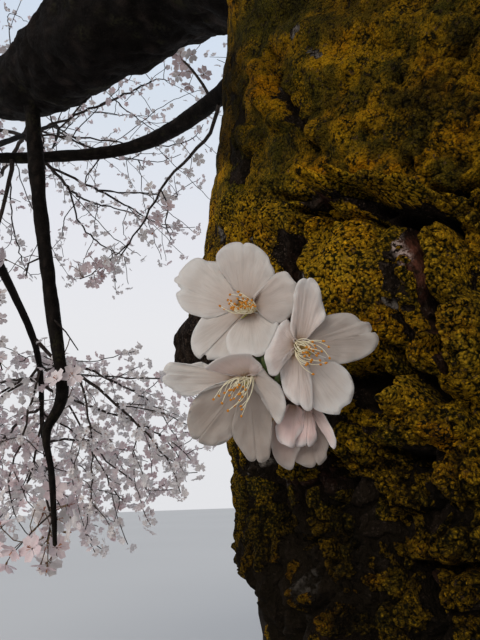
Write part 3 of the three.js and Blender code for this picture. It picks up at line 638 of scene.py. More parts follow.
# ------------------------------------------------------------------ trunk
def make_trunk():
    a, z, size, quads, fans = trunk_lattice()
    base = trunk_point(a, z)
    h, grown = bark_relief(base, a, z, size)
    out = np.stack([np.cos(a), np.sin(a), 0 * a], -1)
    slope = smooth(2.1, 2.38, z)[:, None] * 0.9
    out = out * (1 - slope) + np.array([0, 0, 1.0]) * slope
    p = base + out * h[:, None]
    p[z <= 0, 2] = 0
    p[:, 2] = np.maximum(p[:, 2], 0)
    # ground and top caps
    foot, crown = np.nonzero(z <= 1e-9)[0], np.nonzero(z >= TRUNK_TOP - 1e-9)[0]
    foot, crown = foot[np.argsort(a[foot])], crown[np.argsort(a[crown])]
    caps = [(np.array([LEAN[0] * 0, LEAN[1] * 0, 0.0]), foot, True), (np.array([LEAN[0] * 2.4, LEAN[1] * 2.4, 2.395]), crown, False)]
    for middle, ring, down in caps:
        k = len(p)
        p = np.concatenate([p, middle[None]])
        grown = {key: np.append(v, v[ring].mean()) for key, v in grown.items()}
        nxt = np.roll(ring, -1)
        fans = np.concatenate([fans, np.stack([np.full(len(ring), k), nxt, ring] if down else [np.full(len(ring), k), ring, nxt], -1)])
    material = bark_material()
    # two pieces, parted along rows of the lattice
    cuts = [(-1, 1.405, "trunk_bark_lower"), (1.405, 9, "trunk_bark_upper")]
    made = []
    zz = p[:, 2]
    zq, zf = z_of(quads, np.append(z, [0, 2.39])), z_of(fans, np.append(z, [0, 2.39]))
    for lo, hi, name in cuts:
        q, f = quads[(zq > lo) & (zq <= hi)], fans[(zf > lo) & (zf <= hi)]
        used = np.unique(np.concatenate([q.ravel(), f.ravel()]))
        index = np.zeros(len(p), np.int64)
        index[used] = np.arange(len(used))
        made.append(make_mesh(name, p[used], [index[q], index[f]], {k: v[used] for k, v in grown.items()}, material=material))
    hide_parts("trunk_burl")
    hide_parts("trunk")
    return made


def z_of(faces, z):
    return z[faces].mean(1) if len(faces) else np.zeros(0)


# ------------------------------------------------------------------ limbs, as in the frame
def trunk_middle(z):
    return np.array([LEAN[0] * z, LEAN[1] * z, z])


BOUGHS = [
    ("bough_centre", 2.040, 205, 82, (-0.060, 0.060, 5.750), 80, 0.118, 0.046, "mass_top"),
    ("bough_right", 2.000, -14, 47, (2.900, -0.380, 3.900), 16, 0.122, 0.040, "mass_right"),
    ("bough_back", 2.010, 74, 50, (0.880, 2.900, 4.080), 18, 0.108, 0.038, "mass_back"),
    ("bough_side_left", 2.060, 196, 46, (-3.050, -0.850, 3.900), 14, 0.106, 0.038, "mass_side_left"),
    ("bough_front_left", 1.960, 238, 44, (-1.400, -2.700, 3.880), 14, 0.110, 0.038, "mass_front_left"),
    ("bough_front_right", 2.080, -58, 46, (1.800, -2.450, 3.880), 14, 0.104, 0.036, "mass_front_right"),
    ("bough_back_right", 2.110, 30, 52, (2.250, 1.750, 4.080), 20, 0.096, 0.034, "mass_back_right"),
]
FORKS = [
    ("fork_top_right", "bough_right", 0.3, 20, 68, (1.300, 0.480, 5.150), 60, 0.070, 0.032, "mass_top_right"),
    ("fork_top_left", "bough_side_left", 0.3, 170, 66, (-1.300, -0.180, 5.200), 60, 0.066, 0.032, "mass_top_left"),
    ("fork_top_front", "bough_front_right", 0.3, -75, 64, (0.200, -1.330, 5.100), 60, 0.064, 0.030, "mass_top_front"),
]
COURSES = [
    ("bough_left", [(-60, 50, 1985), (-268, 219, 2062), (-423, 308, 2046), (-542, 405, 2070), (-676, 501, 2120),
                    (-1080, 760, 2420), (-1750, 1060, 3010), (-2800, 1430, 3760)], (104, 84, 75, 66, 54, 50, 44, 34), "mass_left"),
    ("limb_behind", [(-40, 110, 1900), (-140, 330, 2090), (-248, 590, 2176), (-512, 874, 2262), (-902, 954, 2304),
                     (-1180, 1350, 2640), (-1320, 2250, 3500)], (34, 25, 21, 17, 14, 13, 11), "mass_back_left"),
    ("branch_hanging", [(-584, 439, 2036), (-560, 461, 1845), (-527, 476, 1653), (-504, 486, 1523), (-521, 482, 1462),
                        (-509, 485, 1400), (-498, 489, 1308)], (14, 12, 10.5, 9, 6, 4.5, 3), None),
]
DROOPS = [
    ("droop_back_left", "bough_left", 0.66, 112, 8, (-1.290, 2.450, 1.800), -46, 0.026, 0.012, "mass_low_back_left"),
    ("droop_right", "bough_right", 0.55, -40, 4, (3.300, -1.380, 3.100), -30, 0.024, 0.012, "mass_low_right"),
    ("droop_left", "bough_side_left", 0.55, 172, 4, (-3.500, 0.380, 3.120), -30, 0.024, 0.012, "mass_low_left"),
    ("droop_front", "bough_front_left", 0.5, -70, 4, (0.250, -3.400, 3.160), -30, 0.024, 0.012, "mass_low_front"),
    ("droop_back", "bough_back", 0.55, 62, 4, (1.820, 3.350, 3.180), -30, 0.024, 0.012, "mass_low_back"),
]
MASSES = [
    ("mass_top", (-40, 80, 5990), (1450, 1340, 960), 15, 0.1), ("mass_top_right", (1480, 560, 5300), (1330, 1280, 940), 40, 0.11),
    ("mass_top_left", (-1480, -140, 5360), (1340, 1280, 950), -20, 0.11), ("mass_top_front", (240, -1480, 5240), (1400, 1240, 940), 5, 0.11),
    ("mass_right", (3150, -420, 4130), (1400, 1500, 1000), 10, 0.12), ("mass_front_right", (1950, -2620, 4060), (1500, 1340, 960), -35, 0.12),
    ("mass_front_left", (-1380, -2880, 4080), (1540, 1300, 960), 18, 0.12), ("mass_side_left", (-3180, -980, 4120), (1400, 1500, 1000), -12, 0.12),
    ("mass_left", (-3020, 1560, 4000), (1340, 1300, 940), 25, 0.12), ("mass_back", (960, 3080, 4240), (1500, 1320, 980), 8, 0.12),
    ("mass_back_right", (2480, 1860, 4280), (1380, 1300, 960), 45, 0.12), ("mass_back_left", (-1420, 2680, 3640), (1200, 1080, 1180), 30, 0.13),
    ("mass_low_back_left", (-1260, 2760, 1640), (900, 820, 600), 20, 0.14), ("mass_low_right", (3560, -1480, 3020), (760, 860, 640), 15, 0.14),
    ("mass_low_left", (-3720, 420, 3040), (740, 900, 640), -10, 0.14), ("mass_low_front", (330, -3620, 3080), (980, 720, 620), 10, 0.14),
    ("mass_low_back", (1940, 3560, 3100), (960, 720, 620), -15, 0.14),
]


def bend(start, heading, climb, end, end_climb):
    """A cubic run from a start heading to an end climb, with a slight crook."""
    a, d = np.asarray(start, float), np.asarray(end, float)
    length = np.linalg.norm(d - a)
    h, c = math.radians(heading), math.radians(climb)
    out = np.array([math.cos(h) * math.cos(c), math.sin(h) * math.cos(c), math.sin(c)])
    flat = np.array([d[0] - a[0], d[1] - a[1], 0.0])
    flat = flat / np.linalg.norm(flat)
    e = math.radians(end_climb)
    tail = flat * math.cos(e) + np.array([0, 0, math.sin(e)])
    b, g = a + out * length * 0.36, d - tail * length * 0.34
    side = np.array([-flat[1], flat[0], 0.0])

    def run(t):
        t = np.atleast_1d(np.asarray(t, float))[:, None]
        u = 1 - t
        crook = length * 0.02 * np.sin(math.pi * t)
        return a * u ** 3 + b * 3 * u * u * t + g * 3 * u * t * t + d * t ** 3 \
            + side * crook * np.sin(7.1 * t + heading) + np.array([0, 0, 1.0]) * crook * np.cos(5.3 * t + heading)
    return run


def course(stations):
    """A smooth run through stations."""
    st = np.asarray(stations, float)
    n = len(st) - 1

    def run(t):
        s = np.clip(np.atleast_1d(np.asarray(t, float)) * n, 0, n - 1e-9)
        i = np.floor(s).astype(int)
        f = (s - i)[:, None]
        a, b, c, d = (st[np.clip(i + k, 0, n)] for k in (-1, 0, 1, 2))
        return 0.5 * (2 * b + (c - a) * f + (2 * a - 5 * b + 4 * c - d) * f * f + (3 * b - a - 3 * c + d) * f ** 3)
    return run


def lumps(d, k):
    return (np.sin(3.1 * d[:, 0] + 1.7 * k) * np.sin(2.7 * d[:, 1] - 0.9 * k) + 0.8 * np.sin(4.3 * d[:, 2] + 2.3 * k + 2 * d[:, 0])
            + 0.6 * np.sin(5.9 * d[:, 1] + 3.1 * d[:, 0] + 0.7 * k)) / 1.6


def unit(v):
    v = np.asarray(v, float)
    return v / np.maximum(np.linalg.norm(v, axis=-1, keepdims=True), 1e-12)


def steps_along(run, spacing, limit=4000):
    """Values of t whose points lie spacing(p) apart."""
    t = np.linspace(0, 1, 1200)
    p = run(t)
    s = np.concatenate([[0], np.cumsum(np.linalg.norm(np.diff(p, axis=0), axis=1))])
    at, out = 0.0, []
    gap = np.array([spacing(q) for q in p])
    while at < s[-1] and len(out) < limit:
        out.append(np.interp(at, s, t))
        at += np.interp(at, s, gap)
    out.append(1.0)
    return np.array(out), np.interp(out, t, s)


def frames(p):
    """Two directions across a run of points, carried along it without twist."""
    d = unit(np.gradient(p, axis=0))
    x = np.zeros_like(p)
    up = np.array([0, 0, 1.0]) if abs(d[0, 2]) < 0.8 else np.array([1.0, 0, 0])
    for k in range(len(p)):
        up = up - d[k] * (up @ d[k])
        up = up / np.linalg.norm(up)
        x[k] = up
    return d, x, np.cross(d, x)


def ring_faces(rings, sides, base=0):
    i = np.arange(sides)
    j = np.arange(rings - 1)[:, None] * sides
    a = base + j + i
    b = base + j + (i + 1) % sides
    return np.stack([a, b, b + sides, a + sides], -1).reshape(-1, 4)


class Bundle:
    """Many small shapes gathered into one mesh."""

    def __init__(self):
        self.verts, self.quads, self.tris, self.count, self.extra = [], [], [], 0, {}

    def add(self, verts, quads=None, tris=None, **extra):
        if quads is not None and len(quads):
            self.quads.append(np.asarray(quads) + self.count)
        if tris is not None and len(tris):
            self.tris.append(np.asarray(tris) + self.count)
        self.verts.append(np.asarray(verts, float))
        self.count += len(verts)
        for k, v in extra.items():
            self.extra.setdefault(k, []).append(np.broadcast_to(v, (len(verts),)))

    def size(self):
        return sum(2 * len(q) for q in self.quads) + sum(len(t) for t in self.tris)

    def mesh(self, name, **more):
        faces = ([np.concatenate(self.quads)] if self.quads else []) + ([np.concatenate(self.tris)] if self.tris else [])
        return make_mesh(name, np.concatenate(self.verts), faces, {k: np.concatenate(v) for k, v in self.extra.items()}, **more)


def add_tube(bundle, p, r, sides, point=True, **extra):
    """A tapering limb along points, ending in a tip."""
    d, x, y = frames(p)
    a = np.arange(sides) * TAU / sides
    ring = p[:, None] + r[:, None, None] * (np.cos(a)[:, None] * x[:, None] + np.sin(a)[:, None] * y[:, None])
    verts = ring.reshape(-1, 3)
    tris = None
    if point:
        verts = np.concatenate([verts, (p[-1] + d[-1] * r[-1] * 0.8)[None]])
        k, base = len(verts) - 1, (len(p) - 1) * sides
        tris = [[base + i, base + (i + 1) % sides, k] for i in range(sides)]
    bundle.add(verts, ring_faces(len(p), sides), tris, **extra)


def limb_relief(p, s, angle, r, name_seed):
    """Bark of a limb: plates where it is thick, rings of pores across it, and lumps."""
    mm = p * 1000.0
    thick = smooth(0.02, 0.08, r)
    q = np.stack([mm[:, 0] / 42, mm[:, 1] / 42, mm[:, 2] / 42], -1) + 0.35 * np.stack([noise(mm / 40, 5), noise(mm / 40, 6), noise(mm / 40, 7)], -1)
    f1, f2, own = cells(q, 105)
    crack = smooth(0.14, 0.0, f2 - f1) * thick
    bumpy = layered(mm / 60, 3, seed=107) * (0.10 * r * 1000 + 0.6) + 1.6 * noise(mm / 15, 108) * (0.25 + 0.75 * thick)
    around = np.round(s * 1000 / 11 + 0.8 * noise(mm / 30, 109))
    pores = smooth(0.25, 0.6, noise(np.stack([around * 7.3, angle * 2.2, 0 * angle + name_seed], -1), 110))
    h = bumpy - 4.0 * crack + (own - 0.5) * 2.2 * thick + 0.7 * pores
    cover = 0.15 + 0.6 * layered(mm / 55, 2, seed=111) + 0.35 * noise(mm / 10, 112) - 0.5 * crack
    return h / 1000, np.clip(crack + 0.15, 0, 1), smooth(0.3, 0.55, cover), pores


def branch_material():
    t = Tree("bark_branches")
    crust, pores, deep = t.attribute("crust"), t.attribute("pores"), t.attribute("deep")
    colour = t.mix(t.span(t.noise(60, 3), 0.35, 0.7), (0.005, 0.004, 0.0035), (0.0125, 0.0098, 0.0085))
    colour = t.mix(t.span(t.noise(380, 2), 0.5, 0.75, 0.0, 0.6), colour, (0.024, 0.019, 0.016))
    colour = t.mix(t.math("MULTIPLY", pores, t.span(t.noise(500, 2), 0.3, 0.6, 0.3, 0.9)), colour, (0.036, 0.026, 0.021))
    colour = t.mix(t.math("MULTIPLY", crust, t.span(t.noise(240, 3), 0.38, 0.6)), colour, (0.028, 0.025, 0.013))
    t.feed(t.bsdf.inputs["Base Color"], t.mix(t.math("MULTIPLY", deep, 0.7), colour, (0.006, 0.005, 0.004)))
    t.feed(t.bsdf.inputs["Roughness"], t.span(t.noise(150, 2), 0.3, 0.7, 0.72, 0.92))
    set_value(t, Specular_IOR_Level=0.06)
    t.feed(t.bsdf.inputs["Normal"], t.bump(t.noise(420, 3), 0.002, 0.6))
    return t.material


def twig_material():
    t = Tree("bark_twigs")
    colour = t.mix(t.span(t.noise(45, 3), 0.35, 0.7), (0.018, 0.012, 0.009), (0.046, 0.032, 0.026))
    colour = t.mix(t.span(t.noise(300, 2), 0.52, 0.7, 0.0, 0.7), colour, (0.11, 0.088, 0.072))
    t.feed(t.bsdf.inputs["Base Color"], colour)
    t.feed(t.bsdf.inputs["Roughness"], t.span(t.noise(200, 2), 0.3, 0.7, 0.6, 0.85))
    set_value(t, Specular_IOR_Level=0.2)
    t.feed(t.bsdf.inputs["Normal"], t.bump(t.noise(600, 2), 0.0008, 0.5))
    return t.material


class Limb:
    def __init__(self, name, run, radius, mass):
        self.name, self.run, self.radius, self.mass = name, run, radius, mass


def taper(r0, r1):
    return lambda t: r0 + (r1 - r0) * np.power(t, 0.75)


def all_limbs():
    out = {}
    for name, z, heading, climb, to, end, r0, r1, mass in BOUGHS:
        out[name] = Limb(name, bend(trunk_middle(z), heading, climb, to, end), taper(r0, r1), mass)
    for name, stations, radii, mass in COURSES:
        rr = course([[r / 1000] for r in radii])
        out[name] = Limb(name, course(np.array(stations) / 1000), (lambda rr: lambda t: rr(t)[:, 0])(rr), mass)
    for name, parent, share, heading, climb, to, end, r0, r1, mass in FORKS + DROOPS:
        out[name] = Limb(name, bend(out[parent].run(share)[0], heading, climb, to, end), taper(r0, r1), mass)
    return out


def with_leader(limb, spec):
    """The limb's run drawn on into its mass, thinning to a twig."""
    mid, half = np.array(spec[1]) / 1000, np.array(spec[2]) / 1000
    end, before = limb.run(1.0)[0], limb.run(0.97)[0]
    d = unit(end - before)
    away = np.array([mid[0], mid[1], 0.0])
    away = unit(away) if np.linalg.norm(away) > 0.5 else np.array([0, 0, 0.0])
    rise = -0.5 if "low" in spec[0] else (0.75 if "top" in spec[0] else 0.42)
    goal = mid + away * half[:2].mean() * 0.62 + np.array([0, 0, rise * half[2]])
    length = np.linalg.norm(goal - end)
    b, c = end + d * length * 0.4, goal - unit(goal - mid + d * 0.3) * length * 0.3

    def run(t):
        t = np.atleast_1d(np.asarray(t, float))
        first = limb.run(np.minimum(t / 0.8, 1))
        u = np.clip((t - 0.8) / 0.2, 0, 1)[:, None]
        tail = end * (1 - u) ** 3 + b * 3 * (1 - u) ** 2 * u + c * 3 * (1 - u) * u * u + goal * u ** 3
        return np.where((t <= 0.8)[:, None], first, tail)

    r1 = float(np.atleast_1d(limb.radius(np.array([1.0])))[0])

    def radius(t):
        t = np.atleast_1d(np.asarray(t, float))
        return np.where(t <= 0.8, limb.radius(np.minimum(t / 0.8, 1)), r1 + (0.006 - r1) * np.clip((t - 0.8) / 0.2, 0, 1) ** 0.8)
    return Limb(limb.name, run, radius, limb.mass)


def limb_mesh(limb, material, start):
    """The limb with its bark's relief. start is how far from its beginning it leaves what carries it."""
    near = limb.name in ("bough_left", "limb_behind", "branch_hanging")
    big = float(np.max(limb.radius(np.array([0.2]))))
    sides = {"bough_left": 72, "limb_behind": 26, "branch_hanging": 16}.get(limb.name, 26 if big > 0.04 else 14)

    def spacing(p):
        far = np.linalg.norm(p - EYE)
        if near:
            return float(np.interp(far, [1.0, 1.5, 2.4], [0.0065, 0.012, 0.05])) * (1.0 if limb.name != "branch_hanging" else 0.9)
        return float(np.interp(far, [1.0, 2.5, 4.0], [0.03, 0.055, 0.075]))
    t, s = steps_along(limb.run, spacing)
    keep = s >= start * 0.35
    t, s = t[keep], s[keep]
    p, r = limb.run(t), np.maximum(limb.radius(t), 0.0015)
    if limb.name != "branch_hanging":
        r = r * (1 + 0.42 * np.exp(-np.maximum(s - start, 0) / 0.11) * smooth(0, start, s))
    d, x, y = frames(p)
    a = np.arange(sides) * TAU / sides
    out = np.cos(a)[None, :, None] * x[:, None] + np.sin(a)[None, :, None] * y[:, None]
    q = (p[:, None] + out * r[:, None, None]).reshape(-1, 3)
    angle, rr, ss = np.tile(a, len(p)), np.repeat(r, sides), np.repeat(s, sides)
    h, deep, crust, pores = limb_relief(q, ss, angle, rr, len(limb.name))
    q = q + out.reshape(-1, 3) * np.minimum(h, rr * 0.4)[:, None]
    n = len(q)
    q = np.concatenate([q, p[:1], (p[-1] + d[-1] * r[-1])[None]])
    i = np.arange(sides)
    tris = np.concatenate([np.stack([np.full(sides, n), (i + 1) % sides, i], -1),
                           np.stack([n - sides + i, n - sides + (i + 1) % sides, np.full(sides, n + 1)], -1)])
    grown = {k: np.append(v, [v[0], v[-1]]) for k, v in (("deep", deep), ("crust", crust), ("pores", pores))}
    ob = make_mesh(limb.name + "_bark", q, [ring_faces(len(p), sides), tris], grown, material=material)
    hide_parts(limb.name)
    return ob


# ------------------------------------------------------------------ branching: each mass is filled from its limbs
rng = np.random.default_rng(20240403)


def random_units(n, r=rng):
    return unit(r.normal(size=(n, 3)))


def mass_points(spec, k, n):
    """Scattered points in a mass, more of them towards its outside."""
    _, mid, half, heading, uneven = spec
    v = random_units(n)
    s = (1 + uneven * lumps(v, k)) * rng.random(n) ** (1 / 2.7) * 0.965
    half = np.array(half) / 1000
    q = v * s[:, None] * half * np.where(v[:, 2] < 0, 0.88, 1.0)[:, None] ** np.array([0, 0, 1])
    h = math.radians(heading)
    return np.stack([q[:, 0] * math.cos(h) - q[:, 1] * math.sin(h), q[:, 0] * math.sin(h) + q[:, 1] * math.cos(h), q[:, 2]], -1) + np.array(mid) / 1000


def in_picture(p, margin=0):
    col, row, depth = project(p)
    return (depth > 0.2) & (col > -30 - margin) & (col < 250 + margin) & (row > -40 - margin) & (row < 660)


def thin_out(points, reach, taken, cell=0.12):
    """Keep points that lie at least their own reach from those kept before."""
    kept = []
    for k, (p, d) in enumerate(zip(points, reach)):
        m = int(math.ceil(d / cell))
        c = (int(math.floor(p[0] / cell)), int(math.floor(p[1] / cell)), int(math.floor(p[2] / cell)))
        ok = True
        for i in range(c[0] - m, c[0] + m + 1):
            for j in range(c[1] - m, c[1] + m + 1):
                for l in range(c[2] - m, c[2] + m + 1):
                    for q in taken.get((i, j, l), ()):
                        if (q[0] - p[0]) ** 2 + (q[1] - p[1]) ** 2 + (q[2] - p[2]) ** 2 < d * d:
                            ok = False
                            break
                    if not ok:
                        break
                if not ok:
                    break
            if not ok:
                break
        if ok:
            taken.setdefault(c, []).append(tuple(p))
            kept.append(k)
    return np.array(kept, int)


def span_tree(nodes, seeds, seed_run, balance=0.42):
    """Join nodes to the seeds or to each other, each by the way that is short and leaves it near its root.
    Gives each node's parent: -1 - seed, or a node."""
    n = len(nodes)
    parent, run, done, order = np.full(n, 0), np.zeros(n), np.zeros(n, bool), []
    d = np.linalg.norm(nodes[:, None] - seeds[None], axis=-1)
    cost_all = d + balance * seed_run[None]
    j = cost_all.argmin(1)
    best, parent = cost_all[np.arange(n), j], -1 - j
    length = d[np.arange(n), j] + seed_run[j]
    for _ in range(n):
        i = int(np.argmin(np.where(done, np.inf, best)))
        done[i] = True
        order.append(i)
        run[i] = length[i]
        di = np.linalg.norm(nodes - nodes[i], axis=-1)
        c = di + balance * run[i]
        better = (~done) & (c < best)
        best = np.where(better, c, best)
        parent = np.where(better, i, parent)
        length = np.where(better, run[i] + di, length)
    return parent, np.array(order), run


def grow_branches(nodes, seeds, seed_dir, seed_radius, seed_run):
    """Chains of points with radii, from the limbs out to every node."""
    n = len(nodes)
    parent, order, run = span_tree(nodes, seeds, seed_run)
    p = nodes.copy()
    kids = [[] for _ in range(n)]
    roots = []
    for i in order:
        (kids[parent[i]] if parent[i] >= 0 else roots).append(i)
    tips = np.zeros(n)
    for i in order[::-1]:
        tips[i] = max(1.0, sum(tips[c] for c in kids[i])) + 0.15
    heir = np.array([max(kids[i], key=lambda c: tips[c]) if kids[i] else -1 for i in range(n)])
    for _ in range(3):  # draw each branch smoother
        before = np.where((parent >= 0)[:, None], p[np.maximum(parent, 0)], seeds[np.maximum(-1 - parent, 0)])
        after = np.where((heir >= 0)[:, None], p[np.maximum(heir, 0)], p)
        p = np.where((heir >= 0)[:, None], 0.55 * p + 0.225 * (before + after), p)
    radius = 0.0021 * tips ** (1 / 2.25)
    chains = []
    stack = [(i, None) for i in roots]
    while stack:
        i, _ = stack.pop()
        first = parent[i]
        if first >= 0:
            pts, rad = [p[first]], [min(radius[i] * 1.12, radius[first] * 0.95)]
        else:
            s = -1 - first
            pts, rad = [seeds[s]], [min(radius[i] * 1.25, seed_radius[s] * 0.85)]
            lead = seeds[s] + (p[i] - seeds[s]) * 0.33 + seed_dir[s] * np.linalg.norm(p[i] - seeds[s]) * 0.17
            pts.append(lead)
            rad.append(min(radius[i] * 1.1, seed_radius[s] * 0.8))
        c = i
        while c >= 0:
            pts.append(p[c])
            rad.append(min(radius[c], rad[-1]))
            for o in kids[c]:
                if o != heir[c]:
                    stack.append((o, c))
            c = heir[c]
        chains.append((np.array(pts), np.array(rad), first < 0))
    return p, radius, heir, parent, chains


def drawn_out(pts, rad, gap, wobble=0.0, r=rng):
    """A smooth run with more points through a chain's own."""
    n = len(pts) - 1
    seg = np.linalg.norm(np.diff(pts, axis=0), axis=1)
    t = [0.0]
    for k in range(n):
        m = max(1, int(round(seg[k] / gap)))
        t += [(k + (j + 1) / m) / n for j in range(m)]
    t = np.array(t)
    q = course(pts)(t)
    if wobble:
        q[1:-1] += r.normal(size=(len(q) - 2, 3)) * wobble
    return q, np.interp(t * n, np.arange(n + 1), rad)


# ------------------------------------------------------------------ blossom
def flower_small(size, r):
    """Five kite petals, in a shallow cup: two triangles each. The flower faces +Z."""
    verts, tris = [(0.0, 0.0, 0.0)], []
    for k in range(5):
        a = k * TAU / 5 + r.normal() * 0.07
        cup, wide = 0.22 + 0.16 * r.random(), 0.40 + 0.05 * r.random()
        c, s = math.cos(a), math.sin(a)
        base = len(verts)
        for u, v, h in ((0.62, -wide, cup * 0.62), (1.0, 0.0, cup + 0.12 * r.normal() * 0.5), (0.62, wide, cup * 0.62)):
            verts.append((size * (u * c - v * s), size * (u * s + v * c), size * h))
        tris += [(0, base, base + 1), (0, base + 1, base + 2)]
    return np.array(verts), np.array(tris)


def flower_plain(size, r):
    """Five petals of one wide-ended triangle each, for the flowers deep in the crown. The flower faces +Z."""
    verts, tris = [(0.0, 0.0, -0.06 * size)], []
    for k in range(5):
        a = k * TAU / 5 + r.normal() * 0.08
        cup, wide = 0.20 + 0.18 * r.random(), 0.44 + 0.06 * r.random()
        c, s = math.cos(a), math.sin(a)
        base = len(verts)
        for u, v, h in ((0.93, -wide, cup + 0.08 * r.normal()), (0.93, wide, cup + 0.08 * r.normal())):
            verts.append((size * (u * c - v * s), size * (u * s + v * c), size * h))
        tris.append((0, base, base + 1))
    return np.array(verts), np.array(tris)


def flower_full(size, r):
    """Five notched petals of six triangles. The flower faces +Z."""
    verts, tris = [], []
    for k in range(5):
        a = k * TAU / 5 + r.normal() * 0.06
        cup, wide = 0.20 + 0.2 * r.random(), 0.36 + 0.05 * r.random()
        lift = 0.1 * r.normal()
        c, s = math.cos(a), math.sin(a)
        base = len(verts)
        for u, v, h in ((0.04, 0.0, 0.0), (0.50, -wide * 0.92, cup * 0.62), (0.50, wide * 0.92, cup * 0.62), (0.55, 0.0, cup * 0.42),
                        (0.92, -wide * 0.62, cup + lift * 0.4), (0.92, wide * 0.62, cup + lift * 0.4), (0.90, 0.0, cup * 0.86 + lift * 0.5)):
            verts.append((size * (u * c - v * s), size * (u * s + v * c), size * h))
        b, l, m, mid, sl, sr, notch = range(base, base + 7)
        tris += [(b, l, mid), (b, mid, m), (l, sl, mid), (sl, notch, mid), (notch, sr, mid), (sr, m, mid)]
    return np.array(verts), np.array(tris)


def eye_full(size, r):
    """Stamens as thin slivers."""
    verts, tris = [], []
    for k in range(7):
        a, tilt, reach = r.random() * TAU, 0.25 + 0.5 * r.random(), size * (0.36 + 0.14 * r.random())
        tip = np.array([math.cos(a) * math.sin(tilt), math.sin(a) * math.sin(tilt), math.cos(tilt)]) * reach
        side = np.array([-math.sin(a), math.cos(a), 0]) * size * 0.035
        base = len(verts)
        verts += [tip * 0.1, tip - side, tip + side]
        tris.append((base, base + 1, base + 2))
    return np.array(verts), np.array(tris)


def calyx(size, stem, r):
    """Calyx tube, behind the flower's back. Faces +Z like the flower."""
    verts, tris = [], []
    rings = [(0.10, -0.02, 5), (0.07, -0.22, 5)]
    for rad, z, m in rings:
        for k in range(m):
            a = k * TAU / m
            verts.append((size * rad * math.cos(a), size * rad * math.sin(a), size * z))
    for k in range(5):
        a, b = k, (k + 1) % 5
        tris += [(a, b, 5 + b), (a, 5 + b, 5 + a)]
    return np.array(verts), np.array(tris)


TINTS = ["white", "ivory", "blush", "rose"]
bundles = {}


def bundle(name):
    return bundles.setdefault(name, Bundle())


def templates(maker, count, seed):
    r = np.random.default_rng(seed)
    return [maker(1.0, r) for _ in range(count)]


PLAIN, SMALL, FULL, EYES = templates(flower_plain, 24, 6), templates(flower_small, 24, 7), templates(flower_full, 24, 8), templates(eye_full, 12, 9)
CALYX = calyx(1.0, 1.0, None)


def stamp(target, shapes, which, at, face, spin, size):
    """Copies of a few shapes, each turned to face its own way, as one array."""
    face = unit(face)
    ref = np.where(np.abs(face[:, 2:]) < 0.9, np.array([[0, 0, 1.0]]), np.array([[1.0, 0, 0]]))
    x = unit(np.cross(ref, face))
    y = np.cross(face, x)
    c, s = np.cos(spin)[:, None], np.sin(spin)[:, None]
    x, y = x * c + y * s, y * c - x * s
    for k, (v, f) in enumerate(shapes):
        m = which == k
        if not m.any():
            continue
        p = at[m][:, None] + size[m][:, None, None] * (v[None, :, :1] * x[m][:, None] + v[None, :, 1:2] * y[m][:, None] + v[None, :, 2:] * face[m][:, None])
        off = np.arange(m.sum())[:, None, None] * len(v)
        target.add(p.reshape(-1, 3), tris=(f[None] + off).reshape(-1, 3))


class Flowers:
    """Flowers gathered before they are made: place, facing, radius, tint and detail."""

    def __init__(self):
        self.rows = []

    def cluster(self, at, out, count, size, spread, tint, full, inner=False):
        """A cluster on a spur: flowers on stalks that fan out from it."""
        d = unit(unit(out) * 0.75 + random_units(count) * 0.95 + np.array([0, 0, -0.12]))
        reach = spread * (0.75 + 0.5 * rng.random(count))
        p = at + d * reach[:, None]
        face = unit(d * 0.8 + random_units(count) * 0.55)
        s = size * (0.86 + 0.28 * rng.random(count))
        for k in range(count):
            self.rows.append((*p[k], *face[k], s[k], tint, 2 if full and np.linalg.norm(p[k] - EYE) < 2.7 else (0 if inner else 1), *at))

    def make(self, twigs):
        rows = np.array(self.rows)
        at, face, size, tint, kind, origin = rows[:, :3], rows[:, 3:6], rows[:, 6], rows[:, 7].astype(int), rows[:, 8].astype(int), rows[:, 9:12]
        full = kind == 2
        spin = rng.random(len(rows)) * TAU
        pick_s, pick_f, pick_e = rng.integers(0, len(SMALL), len(rows)), rng.integers(0, len(FULL), len(rows)), rng.integers(0, len(EYES), len(rows))
        for k, name in enumerate(TINTS):
            for shapes, which in ((PLAIN, 0), (SMALL, 1)):
                m = (tint == k) & (kind == which)
                stamp(bundle("blossom_" + name), shapes, pick_s[m], at[m], face[m], spin[m], size[m])
            m = (tint == k) & full
            stamp(bundle("blossom_" + name), FULL, pick_f[m], at[m], face[m], spin[m], size[m])
        stamp(bundle("blossom_stamens"), EYES, pick_e[full], at[full], face[full], spin[full], size[full])
        m = full
        stamp(bundle("blossom_calyces"), [CALYX], np.zeros(m.sum(), int), at[m], face[m], spin[m], size[m])
        # stalks of the detailed flowers
        for k in np.nonzero(full)[0]:
            a, b = at[k] - face[k] * size[k] * 0.22, origin[k]
            mid = (a + b) / 2 - face[k] * np.linalg.norm(a - b) * 0.2
            pts = np.array([b, mid, a])
            w = 0.0009
            d = unit(a - b)
            x = unit(np.cross(d, [0.3, 0.2, 0.93]))
            y = np.cross(d, x)
            ang = np.arange(3) * TAU / 3
            ring = w * (np.cos(ang)[:, None] * x + np.sin(ang)[:, None] * y)
            bundle("blossom_calyces").add((pts[:, None] + ring).reshape(-1, 3), ring_faces(3, 3))


def petal_material(name, colour, shade):
    t = Tree("petals_" + name)
    c = t.mix(t.span(t.noise(38, 2), 0.32, 0.68), colour, shade)
    c = t.mix(t.span(t.noise(420, 2), 0.45, 0.75, 0.0, 0.35), c, tuple(v * 0.8 for v in shade))
    t.feed(t.bsdf.inputs["Base Color"], c)
    t.feed(t.bsdf.inputs["Roughness"], t.span(t.noise(300, 1), 0.3, 0.7, 0.5, 0.7))
    set_value(t, Specular_IOR_Level=0.25, Sheen_Weight=0.1, Sheen_Roughness=0.5)
    t.feed(t.bsdf.inputs["Normal"], t.bump(t.noise(500, 2), 0.0005, 0.4))
    return t.material


